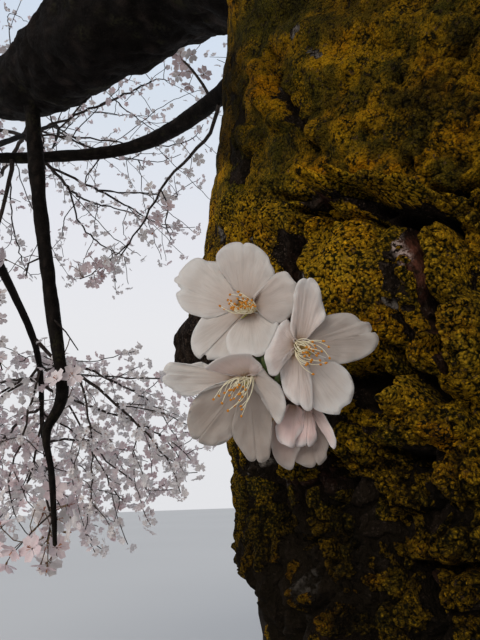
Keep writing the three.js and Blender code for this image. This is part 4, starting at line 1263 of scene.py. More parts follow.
def plain_material(name, a, b, scale, rough):
    t = Tree(name)
    t.feed(t.bsdf.inputs["Base Color"], t.mix(t.span(t.noise(scale, 2), 0.3, 0.7), a, b))
    t.feed(t.bsdf.inputs["Roughness"], t.span(t.noise(scale * 2, 1), 0.3, 0.7, rough - 0.1, rough + 0.1))
    set_value(t, Specular_IOR_Level=0.3)
    t.feed(t.bsdf.inputs["Normal"], t.bump(t.noise(scale * 2.5, 2), 0.0004, 0.4))
    return t.material


def grow_crown():
    limbs = all_limbs()
    bark, twig_bark = branch_material(), twig_material()
    specs = {m[0]: (m, k + 1) for k, m in enumerate(MASSES)}
    flowers = Flowers()
    twigs = Bundle()
    taken = {}
    order = ["mass_back_left", "mass_low_back_left"] + [m[0] for m in MASSES if m[0] not in ("mass_back_left", "mass_low_back_left")]
    drawn = {name: (with_leader(l, specs[l.mass][0]) if l.mass else l) for name, l in limbs.items()}
    carried = {"fork_top_right": "bough_right", "fork_top_left": "bough_side_left", "fork_top_front": "bough_front_right",
               "droop_back_left": "bough_left", "droop_right": "bough_right", "droop_left": "bough_side_left",
               "droop_front": "bough_front_left", "droop_back": "bough_back", "branch_hanging": "bough_left"}
    for name, l in drawn.items():
        start = 0.16 if name not in carried else 0.05
        if name == "limb_behind":
            start = 0.20
        if name == "branch_hanging":
            start = 0.0
        limb_mesh(l, bark, start)
    stats = {}
    for name in order:
        spec, k = specs[name]
        volume = np.prod(np.array(spec[2]) / 1000) * 4.19
        cand = mass_points(spec, k, int(volume * 620))
        seen = in_picture(cand)
        sparse = seen & (name != "mass_low_back_left")
        reach = np.where(sparse, 0.20, np.where(name == "mass_low_back_left", 0.115, 0.152))
        keep = thin_out(cand, reach, taken)
        nodes, sparse = cand[keep], sparse[keep]
        # the limb that feeds this mass, from where it comes near it
        feeders = [l for l in drawn.values() if l.mass == name]
        seeds, dirs, radii, runs = [], [], [], []
        for l in feeders:
            t = np.linspace(0.45, 1.0, 46)
            q = l.run(t)
            mid = np.array(spec[1]) / 1000
            inside = np.linalg.norm((q - mid) / (np.array(spec[2]) / 1000), axis=1) < 1.25
            inside[-8:] = True
            q2, t2 = q[inside], t[inside]
            dd = unit(l.run(np.minimum(t2 + 0.01, 1.0)) - l.run(t2 - 0.01))
            s = np.concatenate([[0], np.cumsum(np.linalg.norm(np.diff(q2, axis=0), axis=1))])
            seeds.append(q2), dirs.append(dd), radii.append(l.radius(t2)), runs.append(s)
        seeds, dirs, radii, runs = (np.concatenate(v) for v in (seeds, dirs, radii, runs))
        p, rad, heir, parent, chains = grow_branches(nodes, seeds, dirs, radii, runs)
        for pts, rr, rooted in chains:
            near = in_picture(pts[len(pts) // 2][None])[0]
            gap = 0.05 if near else 0.16
            q, r2 = drawn_out(pts, rr, gap, 0.004 if near else 0.0)
            sides = 5 if r2[0] > 0.012 else (4 if (r2[0] > 0.006 or near) else 3)
            if near and r2[0] > 0.005:
                sides = 6
            add_tube(twigs, q, np.maximum(r2, 0.0017), sides)
        # blossom on every node and between
        before = np.where((parent >= 0)[:, None], p[np.maximum(parent, 0)], seeds[np.maximum(-1 - parent, 0)])
        mid = np.array(spec[1]) / 1000
        group = noise(p / 0.55, 301) + 0.35 * rng.normal(size=len(p))
        tint = np.digitize(group, [-0.28, 0.05, 0.38])
        deep_in = np.linalg.norm((p - mid) / (np.array(spec[2]) / 1000), axis=1) < 0.70
        for i in range(len(p)):
            out = unit(unit(p[i] - before[i]) + 0.8 * unit(p[i] - mid) + 0.4 * rng.normal(size=3))
            end = heir[i] < 0
            near = in_picture(p[i][None], 10)[0]
            if name == "mass_low_back_left":
                flowers.cluster(p[i], out, 5 if end else 4, 0.0205, 0.036, tint[i], near)
                for _ in range(2):
                    f = 0.2 + 0.6 * rng.random()
                    flowers.cluster(p[i] * f + before[i] * (1 - f), unit(rng.normal(size=3)), 3, 0.020, 0.034, tint[i], near)
            elif sparse[i]:
                flowers.cluster(p[i], out, 3 if end else 2, 0.0195, 0.034, tint[i], near)
                f = 0.3 + 0.4 * rng.random()
                flowers.cluster(p[i] * f + before[i] * (1 - f), unit(rng.normal(size=3)), 1 + int(rng.random() < 0.5), 0.019, 0.032, tint[i], near)
            else:
                flowers.cluster(p[i], out, 5 if end else 3, 0.0325, 0.058, tint[i], False, deep_in[i])
                if rng.random() < 0.55 and rad[i] < 0.012:
                    f = 0.3 + 0.4 * rng.random()
                    flowers.cluster(p[i] * f + before[i] * (1 - f), unit(rng.normal(size=3)), 2, 0.031, 0.052, tint[i], False, deep_in[i])
        stats[name] = (len(nodes), len(chains))
    near_sprays(flowers, twigs, drawn)
    flowers.make(twigs)
    ob = twigs.mesh("twigs", material=twig_bark)
    masses = [m[0] for m in MASSES]
    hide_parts(*masses)
    colours = {"white": ((0.88, 0.85, 0.84), (0.83, 0.78, 0.78)), "ivory": ((0.87, 0.82, 0.80), (0.81, 0.75, 0.74)),
               "blush": ((0.87, 0.79, 0.79), (0.81, 0.70, 0.71)), "rose": ((0.83, 0.71, 0.72), (0.76, 0.60, 0.62))}
    for name in TINTS:
        ob = bundle("blossom_" + name).mesh("blossom_" + name, smooth_shade=False, material=petal_material(name, *colours[name]))
        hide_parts(*masses)
    ob = bundle("blossom_stamens").mesh("blossom_stamens", smooth_shade=False, material=plain_material("stamens_far", (0.52, 0.24, 0.09), (0.40, 0.12, 0.10), 300, 0.6))
    ob = bundle("blossom_calyces").mesh("blossom_calyces", material=plain_material("calyces_far", (0.15, 0.055, 0.035), (0.16, 0.12, 0.045), 200, 0.6))
    print("crown", {k: v for k, v in stats.items()}, "flowers", len(flowers.rows), "detailed", int(sum(r[8] == 2 for r in flowers.rows)))
    return drawn


def near_sprays(flowers, twigs, drawn):
    """The slender branches that the camera sees between the low bough and the ground."""
    def spray(stations, r0, r1, every, count, start=0.0, side=6, gap=0.03, tint=1, size=0.0185):
        pts = np.array(stations)
        q, rr = drawn_out(pts, np.linspace(r0, r1, len(pts)), gap, 0.0015)
        add_tube(twigs, q, rr, side)
        s = np.concatenate([[0], np.cumsum(np.linalg.norm(np.diff(q, axis=0), axis=1))])
        at = s[-1] * start
        while at < s[-1] + 1e-6:
            p = np.array([np.interp(at, s, q[:, k]) for k in range(3)])
            flowers.cluster(p, random_units(1)[0], int(rng.integers(max(1, count - 1), count + 2)), size, 0.034, int(rng.integers(0, 4)), True)
            at += every * (0.6 + 0.8 * rng.random())
        return q, s

    def seen(path, depths):
        return np.array([unproject(c, r, d) for (c, r), d in zip(path, depths)])

    b = drawn["limb_behind"]
    # twigs that rise and fall from the slender limb
    spray(seen([(210, 101), (203, 84), (193, 70), (181, 60), (166, 50), (152, 40)], [1.16, 1.18, 1.2, 1.24, 1.28, 1.33]), 0.0042, 0.0016, 0.05, 2, 0.3)
    spray(seen([(219, 104), (214, 124), (204, 142), (190, 156), (175, 172), (161, 190), (150, 210), (140, 228), (128, 244), (118, 264)],
               [1.08, 1.12, 1.15, 1.2, 1.24, 1.28, 1.3, 1.33, 1.35, 1.36]), 0.0046, 0.0017, 0.085, 2, 0.3)
    spray(seen([(161, 190), (168, 205), (166, 222), (172, 240)], [1.28, 1.3, 1.33, 1.36]), 0.0022, 0.0014, 0.05, 2, 0.4, side=4)
    spray(seen([(128, 244), (108, 262), (90, 275), (80, 279)], [1.35, 1.36, 1.38, 1.4]), 0.0024, 0.0014, 0.03, 3, 0.35, side=4)
    spray(seen([(100, 158), (86, 176), (84, 190)], [1.22, 1.24, 1.26]), 0.002, 0.0013, 0.05, 2, 0.5, side=4)
    # the hanging branch's side twigs and its end
    spray(seen([(52, 470), (48, 500), (52, 520), (46, 540), (58, 556)], [0.78, 0.785, 0.79, 0.79, 0.795]), 0.0022, 0.0013, 0.016, 3, 0.45, side=4)
    spray(seen([(50, 515), (36, 530), (24, 540), (14, 552)], [0.785, 0.79, 0.8, 0.8]), 0.0016, 0.0011, 0.022, 3, 0.5, side=4)
    spray(seen([(40, 258), (30, 264), (26, 276)], [0.79, 0.8, 0.82]), 0.002, 0.0012, 0.04, 1, 0.8, side=4)
    spray(seen([(58, 370), (66, 376), (74, 384)], [0.79, 0.8, 0.82]), 0.002, 0.0012, 0.03, 2, 0.8, side=4)
    spray(seen([(54, 320), (66, 332), (78, 350)], [0.79, 0.81, 0.84]), 0.0018, 0.0012, 0.03, 2, 0.6, side=4)
    # a twig at the picture's left edge, hanging from the slender limb
    spray(seen([(12, 160), (9, 180), (4, 202), (-1, 224), (-8, 250), (-12, 290), (-6, 330), (2, 370)], [1.44, 1.43, 1.42, 1.41, 1.41, 1.4, 1.4, 1.4]), 0.0072, 0.002, 0.06, 3, 0.6)


# ------------------------------------------------------------------ the cluster of blooms on the trunk
# Each petal is drawn by the outline that the camera sees, in picture columns and rows, and bent by depths in mm.
class Sheet:
    """A flower's own drawing frame: its corner in the picture and its scale, and how its face is turned."""

    def __init__(self, x, y, scale, middle=(0, 0), right=0.0, down=0.0, shift=0.0):
        self.x, self.y, self.scale = x, y, scale
        self.middle, self.right, self.down, self.shift = middle, right, down, shift

    def place(self, x, y, depth):
        """A picture point at a depth in mm, on the flower's turned face."""
        d = depth + self.shift + self.right * (x - self.middle[0]) + self.down * (y - self.middle[1])
        return unproject(x, y, d / 1000)

    def __call__(self, points):
        p = np.asarray(points, float)
        return p / self.scale + np.array([self.x, self.y])


S1, S2 = Sheet(170, 235, 11.615, (245, 308), -0.045, -0.075, 4.0), Sheet(258, 270, 10.453, (296, 348), 0.055, -0.015, 1.5)
S3, S4 = Sheet(155, 345, 11.2, (246, 378), -0.01, 0.035, 0.5), Sheet(262, 395, 18.667, (300, 430), -0.02, -0.05, 1.5)

# name, sheet, base point, outline from one side of the base round the tip to the other,
# shape: depth of the base, change to the tip, arch along it, trough across it, tilt across it, curl of the rim (mm), blush
PETALS = [
    ("upper_top", S1, (872, 770), [(770, 650), (700, 560), (625, 470), (562, 385), (533, 295), (543, 222), (590, 160), (660, 110), (730, 84), (795, 82), (832, 92),
                                   (850, 112), (872, 94), (915, 90), (975, 108), (1042, 150), (1108, 208), (1150, 268), (1163, 322), (1198, 380), (1216, 432), (1204, 480),
                                   (1150, 545), (1065, 625), (990, 700), (935, 745)], (156.5, -1.4, 1.0, 0.7, 0.5, 0.35), 0.10),
    ("upper_left", S1, (770, 825), [(800, 690), (750, 560), (680, 430), (590, 325), (482, 304), (432, 302), (390, 282), (342, 264), (290, 268), (240, 295), (180, 345),
                                    (136, 395), (104, 440), (94, 474), (54, 498), (50, 540), (84, 566), (100, 600), (128, 630), (84, 664), (68, 690), (78, 735), (104, 795),
                                    (152, 862), (232, 917), (330, 947), (420, 971), (500, 969), (600, 934), (690, 900)], (157.3, -0.6, 0.8, 0.7, 1.3, 0.3), 0.06),
    ("upper_right", S1, (985, 800), [(955, 715), (1040, 625), (1140, 525), (1212, 455), (1268, 432), (1330, 420), (1372, 440), (1408, 488), (1442, 532), (1480, 568),
                                     (1502, 640), (1506, 720), (1486, 810), (1440, 900), (1352, 985), (1250, 1034), (1180, 1028), (1110, 980), (1058, 930), (1018, 885)],
     (154.6, -2.6, 0.6, -0.5, 0.4, 0.5), 0.16),
    ("upper_low", S1, (930, 905), [(850, 955), (765, 1030), (700, 1098), (657, 1170), (647, 1240), (658, 1312), (690, 1378), (745, 1412), (832, 1426), (925, 1414),
                                   (962, 1392), (1002, 1414), (1072, 1402), (1132, 1342), (1182, 1232), (1232, 1122), (1262, 1030), (1190, 975), (1090, 925), (1010, 890)],
     (155.6, -3.0, 0.6, 0.2, 0.6, 0.3), 0.03),
    ("upper_low_left", S1, (830, 905), [(740, 845), (620, 872), (510, 905), (425, 930), (368, 958), (318, 1030), (270, 1116), (247, 1200), (244, 1276), (262, 1352),
                                        (302, 1412), (350, 1443), (362, 1405), (384, 1388), (425, 1400), (430, 1444), (490, 1452), (575, 1442), (680, 1425), (770, 1385),
                                        (845, 1270), (885, 1130), (895, 1000)], (157.8, -2.0, 0.8, 0.6, 0.0, 0.3), 0.05),
    ("right_top", S2, (440, 748), [(372, 705), (335, 620), (346, 500), (362, 400), (372, 330), (368, 268), (384, 212), (398, 160), (428, 112), (468, 88), (500, 88),
                                   (513, 98), (540, 80), (582, 92), (622, 142), (650, 202), (664, 262), (672, 322), (686, 372), (702, 432), (713, 488), (692, 528),
                                   (642, 580), (585, 640), (540, 690), (500, 725)], (151.6, -3.2, 1.4, 1.4, 0.0, 0.5), 0.22),
    ("right_right", S2, (500, 790), [(515, 690), (580, 600), (655, 515), (735, 470), (832, 452), (902, 447), (972, 455), (1032, 490), (1072, 530), (1112, 541),
                                     (1158, 546), (1180, 578), (1192, 618), (1180, 655), (1222, 650), (1254, 688), (1265, 722), (1250, 782), (1210, 842), (1150, 892),
                                     (1080, 930), (1000, 956), (920, 975), (850, 985), (780, 975), (700, 950), (620, 900), (550, 850)], (152.4, -0.6, 1.2, 0.7, -0.3, 0.3), 0.10),
    ("right_low", S2, (450, 870), [(480, 930), (510, 1010), (545, 1100), (560, 1200), (560, 1300), (550, 1390), (595, 1458), (680, 1490), (760, 1508), (850, 1511),
                                   (868, 1462), (905, 1425), (960, 1395), (986, 1345), (1004, 1270), (1000, 1190), (972, 1110), (930, 1050), (880, 1000), (800, 955),
                                   (690, 905), (560, 860)], (152.9, -2.2, 0.9, 0.6, 0.4, 0.3), 0.10),
    ("right_low_left", S2, (405, 880), [(345, 880), (272, 930), (238, 990), (231, 1080), (245, 1180), (270, 1280), (320, 1350), (380, 1398), (420, 1416), (440, 1408),
                                        (480, 1456), (528, 1476), (562, 1460), (577, 1420), (576, 1300), (566, 1150), (536, 1010), (480, 925)],
     (152.0, -3.6, 0.5, -0.8, 0.3, 0.3), 0.24),
    ("right_left", S2, (385, 790), [(388, 715), (366, 610), (318, 520), (268, 530), (214, 582), (170, 680), (120, 780), (74, 862), (66, 925), (90, 1010), (112, 1085),
                                    (150, 1109), (200, 1100), (226, 1060), (232, 985), (256, 920), (320, 872), (365, 845)], (151.4, -3.4, -0.6, -1.6, 0.0, 0.6), 0.30),
    ("lower_left_top", S3, (1010, 345), [(860, 342), (760, 322), (660, 300), (578, 272), (556, 262), (602, 220), (684, 162), (762, 135), (832, 110), (950, 99), (1050, 97),
                                         (1075, 112), (1110, 150), (1160, 192), (1192, 225), (1204, 262), (1202, 310), (1150, 332), (1085, 345)],
     (150.6, -5.6, 1.0, -0.5, 0.0, -0.3), 0.45),
    ("lower_left_left", S3, (900, 360), [(820, 328), (710, 300), (610, 276), (562, 262), (545, 218), (520, 190), (442, 204), (400, 215), (340, 208), (262, 199),
                                         (182, 194), (150, 199), (110, 240), (95, 280), (99, 308), (133, 326), (92, 354), (80, 390), (100, 430), (150, 470), (218, 510),
                                         (262, 550), (320, 570), (390, 576), (450, 566), (510, 522), (590, 476), (700, 434), (810, 402)], (151.0, -0.8, 0.9, -0.5, 0.5, -0.3), 0.04),
    ("lower_left_low_left", S3, (990, 400), [(900, 392), (785, 420), (655, 452), (562, 490), (500, 542), (440, 604), (394, 692), (365, 790), (357, 870), (374, 950),
                                             (400, 1020), (430, 1054), (470, 1060), (492, 1044), (484, 1076), (502, 1100), (562, 1120), (640, 1131), (722, 1120), (792, 1090),
                                             (842, 1050), (876, 1010), (900, 900), (930, 780), (970, 640), (1010, 500)], (151.6, 0.6, 1.0, 0.6, -0.3, 0.3), 0.04),
    ("lower_left_low", S3, (1060, 420), [(1000, 450), (960, 560), (905, 720), (868, 860), (866, 1005), (898, 1080), (950, 1160), (1000, 1232), (1040, 1288), (1080, 1306),
                                         (1118, 1296), (1136, 1274), (1152, 1306), (1190, 1319), (1240, 1300), (1276, 1268), (1292, 1210), (1302, 1100), (1312, 950),
                                         (1312, 800), (1282, 700), (1232, 600), (1160, 510), (1105, 440)], (151.2, -1.0, 0.8, 0.6, 0.2, 0.3), 0.06),
    ("lower_left_right", S3, (1090, 365), [(1150, 332), (1200, 300), (1212, 262), (1230, 282), (1268, 335), (1330, 390), (1400, 450), (1440, 540), (1466, 640),
                                           (1461, 720), (1440, 820), (1402, 880), (1370, 888), (1340, 845), (1312, 800), (1282, 702), (1235, 605), (1172, 505), (1110, 420)],
     (150.6, -3.4, 0.8, -0.9, 0.0, 0.5), 0.10),
    ("half_open_back_left", S4, (480, 260), [(300, 330), (210, 470), (193, 600), (175, 760), (164, 900), (184, 1020), (214, 1130), (260, 1220), (310, 1288), (380, 1340),
                                             (452, 1384), (535, 1402), (580, 1362), (602, 1290), (612, 1244), (660, 1120), (720, 980), (740, 700), (700, 420), (620, 280)],
     (157.6, 1.5, -0.6, 0.9, 0.2, 0.2), 0.90),
    ("half_open_back_right", S4, (800, 260), [(700, 420), (640, 700), (600, 1000), (612, 1225), (690, 1282), (780, 1330), (860, 1355), (938, 1356), (998, 1312),
                                              (1016, 1254), (1050, 1306), (1108, 1296), (1160, 1242), (1211, 1170), (1206, 1080), (1240, 980), (1256, 880), (1250, 790),
                                              (1200, 640), (1120, 480), (1000, 330), (900, 270)], (159.0, 1.2, 0.8, 0.9, 0.0, 0.2), 0.80),
    ("half_open_front_left", S4, (560, 180), [(440, 210), (420, 330), (372, 460), (300, 560), (250, 580), (256, 700), (280, 820), (332, 890), (420, 930), (498, 970),
                                              (560, 991), (612, 962), (632, 852), (700, 742), (762, 680), (792, 560), (802, 420), (790, 310), (700, 220)],
     (156.4, -2.2, -1.5, -1.6, 0.0, 0.4), 1.0),
    ("half_open_front_right", S4, (840, 220), [(770, 290), (772, 420), (770, 600), (720, 740), (642, 842), (614, 902), (640, 960), (700, 977), (770, 966), (800, 942),
                                               (816, 952), (828, 896), (846, 932), (866, 966), (900, 969), (950, 932), (1000, 880), (1026, 820), (1031, 750), (1012, 640),
                                               (1010, 560), (972, 430), (900, 300)], (157.0, -1.2, -1.4, -1.3, 0.0, 0.4), 0.95),
    ("half_open_right", S4, (900, 190), [(1000, 222), (1100, 298), (1180, 400), (1252, 520), (1322, 650), (1362, 770), (1388, 838), (1386, 900), (1376, 980), (1345, 1010),
                                         (1300, 982), (1264, 930), (1256, 850), (1215, 772), (1130, 652), (1050, 530), (962, 402), (892, 292)],
     (157.2, -1.4, -0.4, 0.9, 0.4, 0.2), 0.60),
]

# painted shade: how much darker than the palest petals some are painted, those that hang face down
PETAL_PAINTED_SHADE = {"lower_left_low_left": 0.85, "lower_left_low": 0.95, "lower_left_right": 0.3, "right_right": 0.64, "upper_right": 0.42, "upper_top": 0.22, "upper_left": 0.08, "right_left": 0.0, "right_low_left": 0.0,
        "upper_low_left": 0.10, "half_open_back_left": 0.85, "half_open_back_right": 0.95}
# the depth at which a flower's petals all spring from its cup
SPRING = {id(S1): 156.6, id(S2): 152.2, id(S3): 151.4, id(S4): 158.0}
HOLES = [(S1, 655, 1062, 9)]


def petal_mesh(bundle_to, name, sheet, base, outline, shape, blush, seed):
    d0, tip, arch, trough, tilt, curl = shape
    b, rim_points = sheet(base), sheet(outline)
    n = len(rim_points) - 1
    rim = course(rim_points)(np.linspace(0, 1, 2 * n + 1))
    rows, cols = 13, len(rim)
    u = np.linspace(0.0, 1, rows) ** 0.85
    middle = rim[int(cols * 0.3):int(cols * 0.7)].mean(0)
    axis = (middle - b) / np.linalg.norm(middle - b)
    across = np.array([-axis[1], axis[0]])
    long_, wide = np.max((rim - b) @ axis), np.max(np.abs((rim - b) @ across))
    lean_out = np.clip((rim - b) @ across / wide * 1.8, -1, 1)
    q = b + (rim[None] - b) * u[:, None, None] + across * (4.2 * lean_out[None, :, None] * (1 - u[:, None, None]) ** 1.6)
    a = np.clip((q - b) @ axis / long_, -0.2, 1)
    l = (q - b) @ across / wide
    v = np.broadcast_to(np.linspace(-1, 1, cols), q.shape[:2])
    uu = np.broadcast_to(u[:, None], q.shape[:2])
    flat = q.reshape(-1, 2)
    wave = noise(np.stack([flat[:, 0] / 11, flat[:, 1] / 11, 0 * flat[:, 0] + seed * 3.7], -1), 401).reshape(a.shape)
    wave2 = noise(np.stack([flat[:, 0] / 4.2, flat[:, 1] / 4.2, 0 * flat[:, 0] + seed * 5.1], -1), 402).reshape(a.shape)
    furrow = noise(np.stack([(v * 6.5).ravel(), (uu * 1.2).ravel(), 0 * v.ravel() + seed * 1.9], -1), 403).reshape(a.shape)
    edge = np.clip((uu - 0.72) / 0.28, 0, 1) ** 2
    rooted = smooth(0.0, 0.32, uu)
    depth = SPRING[id(sheet)] * (1 - rooted) + d0 * rooted + tip * a + arch * np.sin(math.pi * np.clip(a, 0, 1)) - trough * l * l * smooth(0, 0.5, uu) + tilt * l * a \
        + curl * edge * (1 + 1.2 * wave) + 0.75 * wave * uu + 0.16 * wave2 * uu + 0.30 * furrow * smooth(0.1, 0.6, uu) * (1 - 0.4 * edge)
    front = sheet.place(q[..., 0], q[..., 1], depth)
    thick = 0.00022 * (1 - 0.55 * edge)
    ray = unit(front - EYE)
    gu, gv = np.gradient(front, axis=0), np.gradient(front, axis=1)
    normal = unit(np.cross(gu, gv))
    normal = np.where(((normal * ray).sum(-1) < 0)[..., None], -normal, normal)
    back = front + normal * thick[..., None]
    i, j = np.meshgrid(np.arange(rows - 1), np.arange(cols - 1), indexing="ij")
    f = np.stack([i * cols + j, i * cols + j + 1, (i + 1) * cols + j + 1, (i + 1) * cols + j], -1).reshape(-1, 4)
    centre = q[:-1, :-1] * 0.25 + q[1:, :-1] * 0.25 + q[:-1, 1:] * 0.25 + q[1:, 1:] * 0.25
    keep = np.ones(len(f), bool)
    for s, x, y, r in HOLES:
        if s is sheet:
            h = s((x, y))
            keep &= np.hypot(centre[..., 0] - h[0], (centre[..., 1] - h[1]) * 0.8).ravel() > r / s.scale
    f0 = f[keep]
    # walls: every edge that only one kept face has
    e = np.concatenate([f0[:, [0, 1]], f0[:, [1, 2]], f0[:, [2, 3]], f0[:, [3, 0]]])
    key = np.sort(e, 1)
    _, first, count = np.unique(key[:, 0] * 100000 + key[:, 1], return_index=True, return_counts=True)
    border = e[first[count == 1]]
    m = rows * cols
    # turn the front's faces to the camera
    p0, p1, p2 = front.reshape(-1, 3)[f0[len(f0) // 2][:3]]
    facing = np.dot(np.cross(p1 - p0, p2 - p0), EYE - p0) > 0
    front_faces = f0 if facing else f0[:, ::-1]
    back_faces = (f0[:, ::-1] if facing else f0) + m
    wall = np.stack([border[:, 1], border[:, 0], border[:, 0] + m, border[:, 1] + m], -1)
    wall = wall if facing else wall[:, ::-1]
    both = np.concatenate([front.reshape(-1, 3), back.reshape(-1, 3)])
    quads = np.concatenate([front_faces, back_faces, wall])
    used = np.unique(quads)
    index = np.zeros(len(both), int)
    index[used] = np.arange(len(used))
    tile2 = lambda x: np.concatenate([x.ravel(), x.ravel()])[used]
    bundle_to.add(both[used], index[quads], reach=tile2(uu), vein=tile2(v * (0.4 + 0.6 * wide / long_)), blush=np.full(len(used), blush), own=np.full(len(used), seed * 0.137 % 1.0), dull=np.full(len(used), PETAL_PAINTED_SHADE.get(name, 0.0)))


def petal_near_material():
    t = Tree("petals_near")
    reach, vein, blush = t.attribute("reach"), t.attribute("vein"), t.attribute("blush")
    own = t.attribute("own")
    comb = t.nodes.new("ShaderNodeCombineXYZ")
    t.feed(comb.inputs[0], t.math("MULTIPLY", vein, 26.0))
    t.feed(comb.inputs[1], t.math("MULTIPLY", reach, 2.2))
    t.feed(comb.inputs[2], t.math("MULTIPLY", own, 40.0))

    def lined(scale, detail):
        n = t.nodes.new("ShaderNodeTexNoise")
        n.inputs["Scale"].default_value, n.inputs["Detail"].default_value = scale, detail
        t.links.new(comb.outputs[0], n.inputs["Vector"])
        return n.outputs["Fac"]
    lines, fine = lined(1.0, 2.0), lined(2.6, 1.0)
    cloud = t.noise(160, 3)
    colour = t.mix(t.span(cloud, 0.3, 0.7), (0.660, 0.600, 0.548), (0.620, 0.560, 0.508))
    colour = t.mix(t.math("MULTIPLY", t.span(lines, 0.50, 0.66), t.span(reach, 0.05, 0.9, 0.55, 0.28)), colour, (0.49, 0.43, 0.38))
    colour = t.mix(t.math("MULTIPLY", t.span(fine, 0.52, 0.68), t.span(reach, 0.1, 0.95, 0.42, 0.2)), colour, (0.52, 0.45, 0.41))
    colour = t.mix(t.math("MULTIPLY", blush, t.span(cloud, 0.25, 0.75, 0.75, 1.0)), colour, (1.0, 0.65, 0.595))
    # paler toward the tips: partly the tips' own paler colour, partly a painted highlight on the rims
    colour = t.mix(t.span(reach, 0.70, 1.0, 0.0, 0.62), colour, (0.84, 0.785, 0.74))
    # darker and warmer toward the middle: partly the petals' own warm base, partly painted shade
    colour = t.mix(t.span(reach, 0.12, 0.66, 0.58, 0.0), colour, (0.49, 0.375, 0.315))
    colour = t.mix(t.span(reach, 0.02, 0.20, 0.6, 0.0), colour, (0.42, 0.26, 0.15))
    # painted shade: petals that hang face down mixed toward grey-brown
    colour = t.mix(t.math("MULTIPLY", t.attribute("dull"), t.span(cloud, 0.3, 0.7, 0.85, 1.0)), colour, (0.325, 0.270, 0.232))
    t.feed(t.bsdf.inputs["Base Color"], colour)
    t.feed(t.bsdf.inputs["Roughness"], t.span(fine, 0.3, 0.7, 0.50, 0.62))
    set_value(t, Specular_IOR_Level=0.3, Sheen_Weight=0.12, Sheen_Roughness=0.4, Subsurface_Weight=0.35, Subsurface_Scale=0.0012)
    t.bsdf.inputs["Subsurface Radius"].default_value = (1.0, 0.75, 0.65)
    t.feed(t.bsdf.inputs["Normal"], t.bump(t.math("ADD", t.math("MULTIPLY", lines, 1.0), t.math("MULTIPLY", fine, 0.6)), 0.00016, 0.7, t.bump(t.noise(2600, 2), 0.00006, 0.5)))
    return t.material


ANTHERS = [
    (S1, (925, 872), 154.9, (76, 40), [(697, 692), (668, 752), (705, 768), (688, 798), (752, 797), (583, 830), (628, 858), (712, 852), (742, 838), (795, 668), (822, 700),
                                       (785, 735), (812, 770), (838, 792), (862, 770), (905, 738), (885, 800), (845, 824), (800, 852), (822, 838), (780, 858), (872, 848),
                                       (905, 828), (925, 786), (955, 762), (965, 806), (985, 834), (948, 846), (760, 822), (730, 866), (892, 770), (850, 745)], (-0.2, 46), 4.2),
    (S2, (398, 805), 151.3, (24, 60), [(688, 745), (740, 805), (568, 748), (590, 788), (603, 820), (545, 812), (572, 845), (663, 852), (500, 855), (490, 905), (615, 890),
                                       (750, 920), (715, 968), (643, 948), (655, 995), (562, 938), (548, 956), (512, 976), (505, 992), (575, 1095), (520, 862), (535, 835),
                                       (585, 852), (472, 868), (630, 880), (500, 800), (530, 905)], (0.0, 24), 4.0),
    (S3, (1030, 362), 150.2, (78, 16), [(710, 572), (660, 615), (775, 535), (838, 512), (858, 500), (880, 507), (892, 490), (835, 568), (843, 615), (752, 652), (880, 597),
                                        (937, 548), (952, 540), (975, 578), (938, 622), (888, 682), (813, 735), (966, 688), (966, 720), (972, 795), (1010, 500), (925, 470),
                                        (945, 450), (990, 470)], (0.0, -34), 4.4),
]


def blob(centre, axis, length, width, sides=6, rings=4):
    """A small closed ovoid."""
    axis = unit(axis)
    x = unit(np.cross(axis, [0.31, 0.52, 0.79]))
    y = np.cross(axis, x)
    a = np.arange(sides) * TAU / sides
    verts, quads, tris = [centre - axis * length / 2], [], []
    for k in range(1, rings):
        th = math.pi * k / rings
        c = centre - axis * math.cos(th) * length / 2
        verts += list(c + math.sin(th) * width / 2 * (np.cos(a)[:, None] * x + np.sin(a)[:, None] * y))
    verts.append(centre + axis * length / 2)
    last = len(verts) - 1
    for i in range(sides):
        j = (i + 1) % sides
        tris += [(0, 1 + j, 1 + i), (last, last - sides + i, last - sides + j)]
        for k in range(rings - 2):
            a0, b0 = 1 + k * sides + i, 1 + k * sides + j
            quads.append((a0, b0, b0 + sides, a0 + sides))
    return np.array(verts), np.array(quads).reshape(-1, 4), np.array(tris)


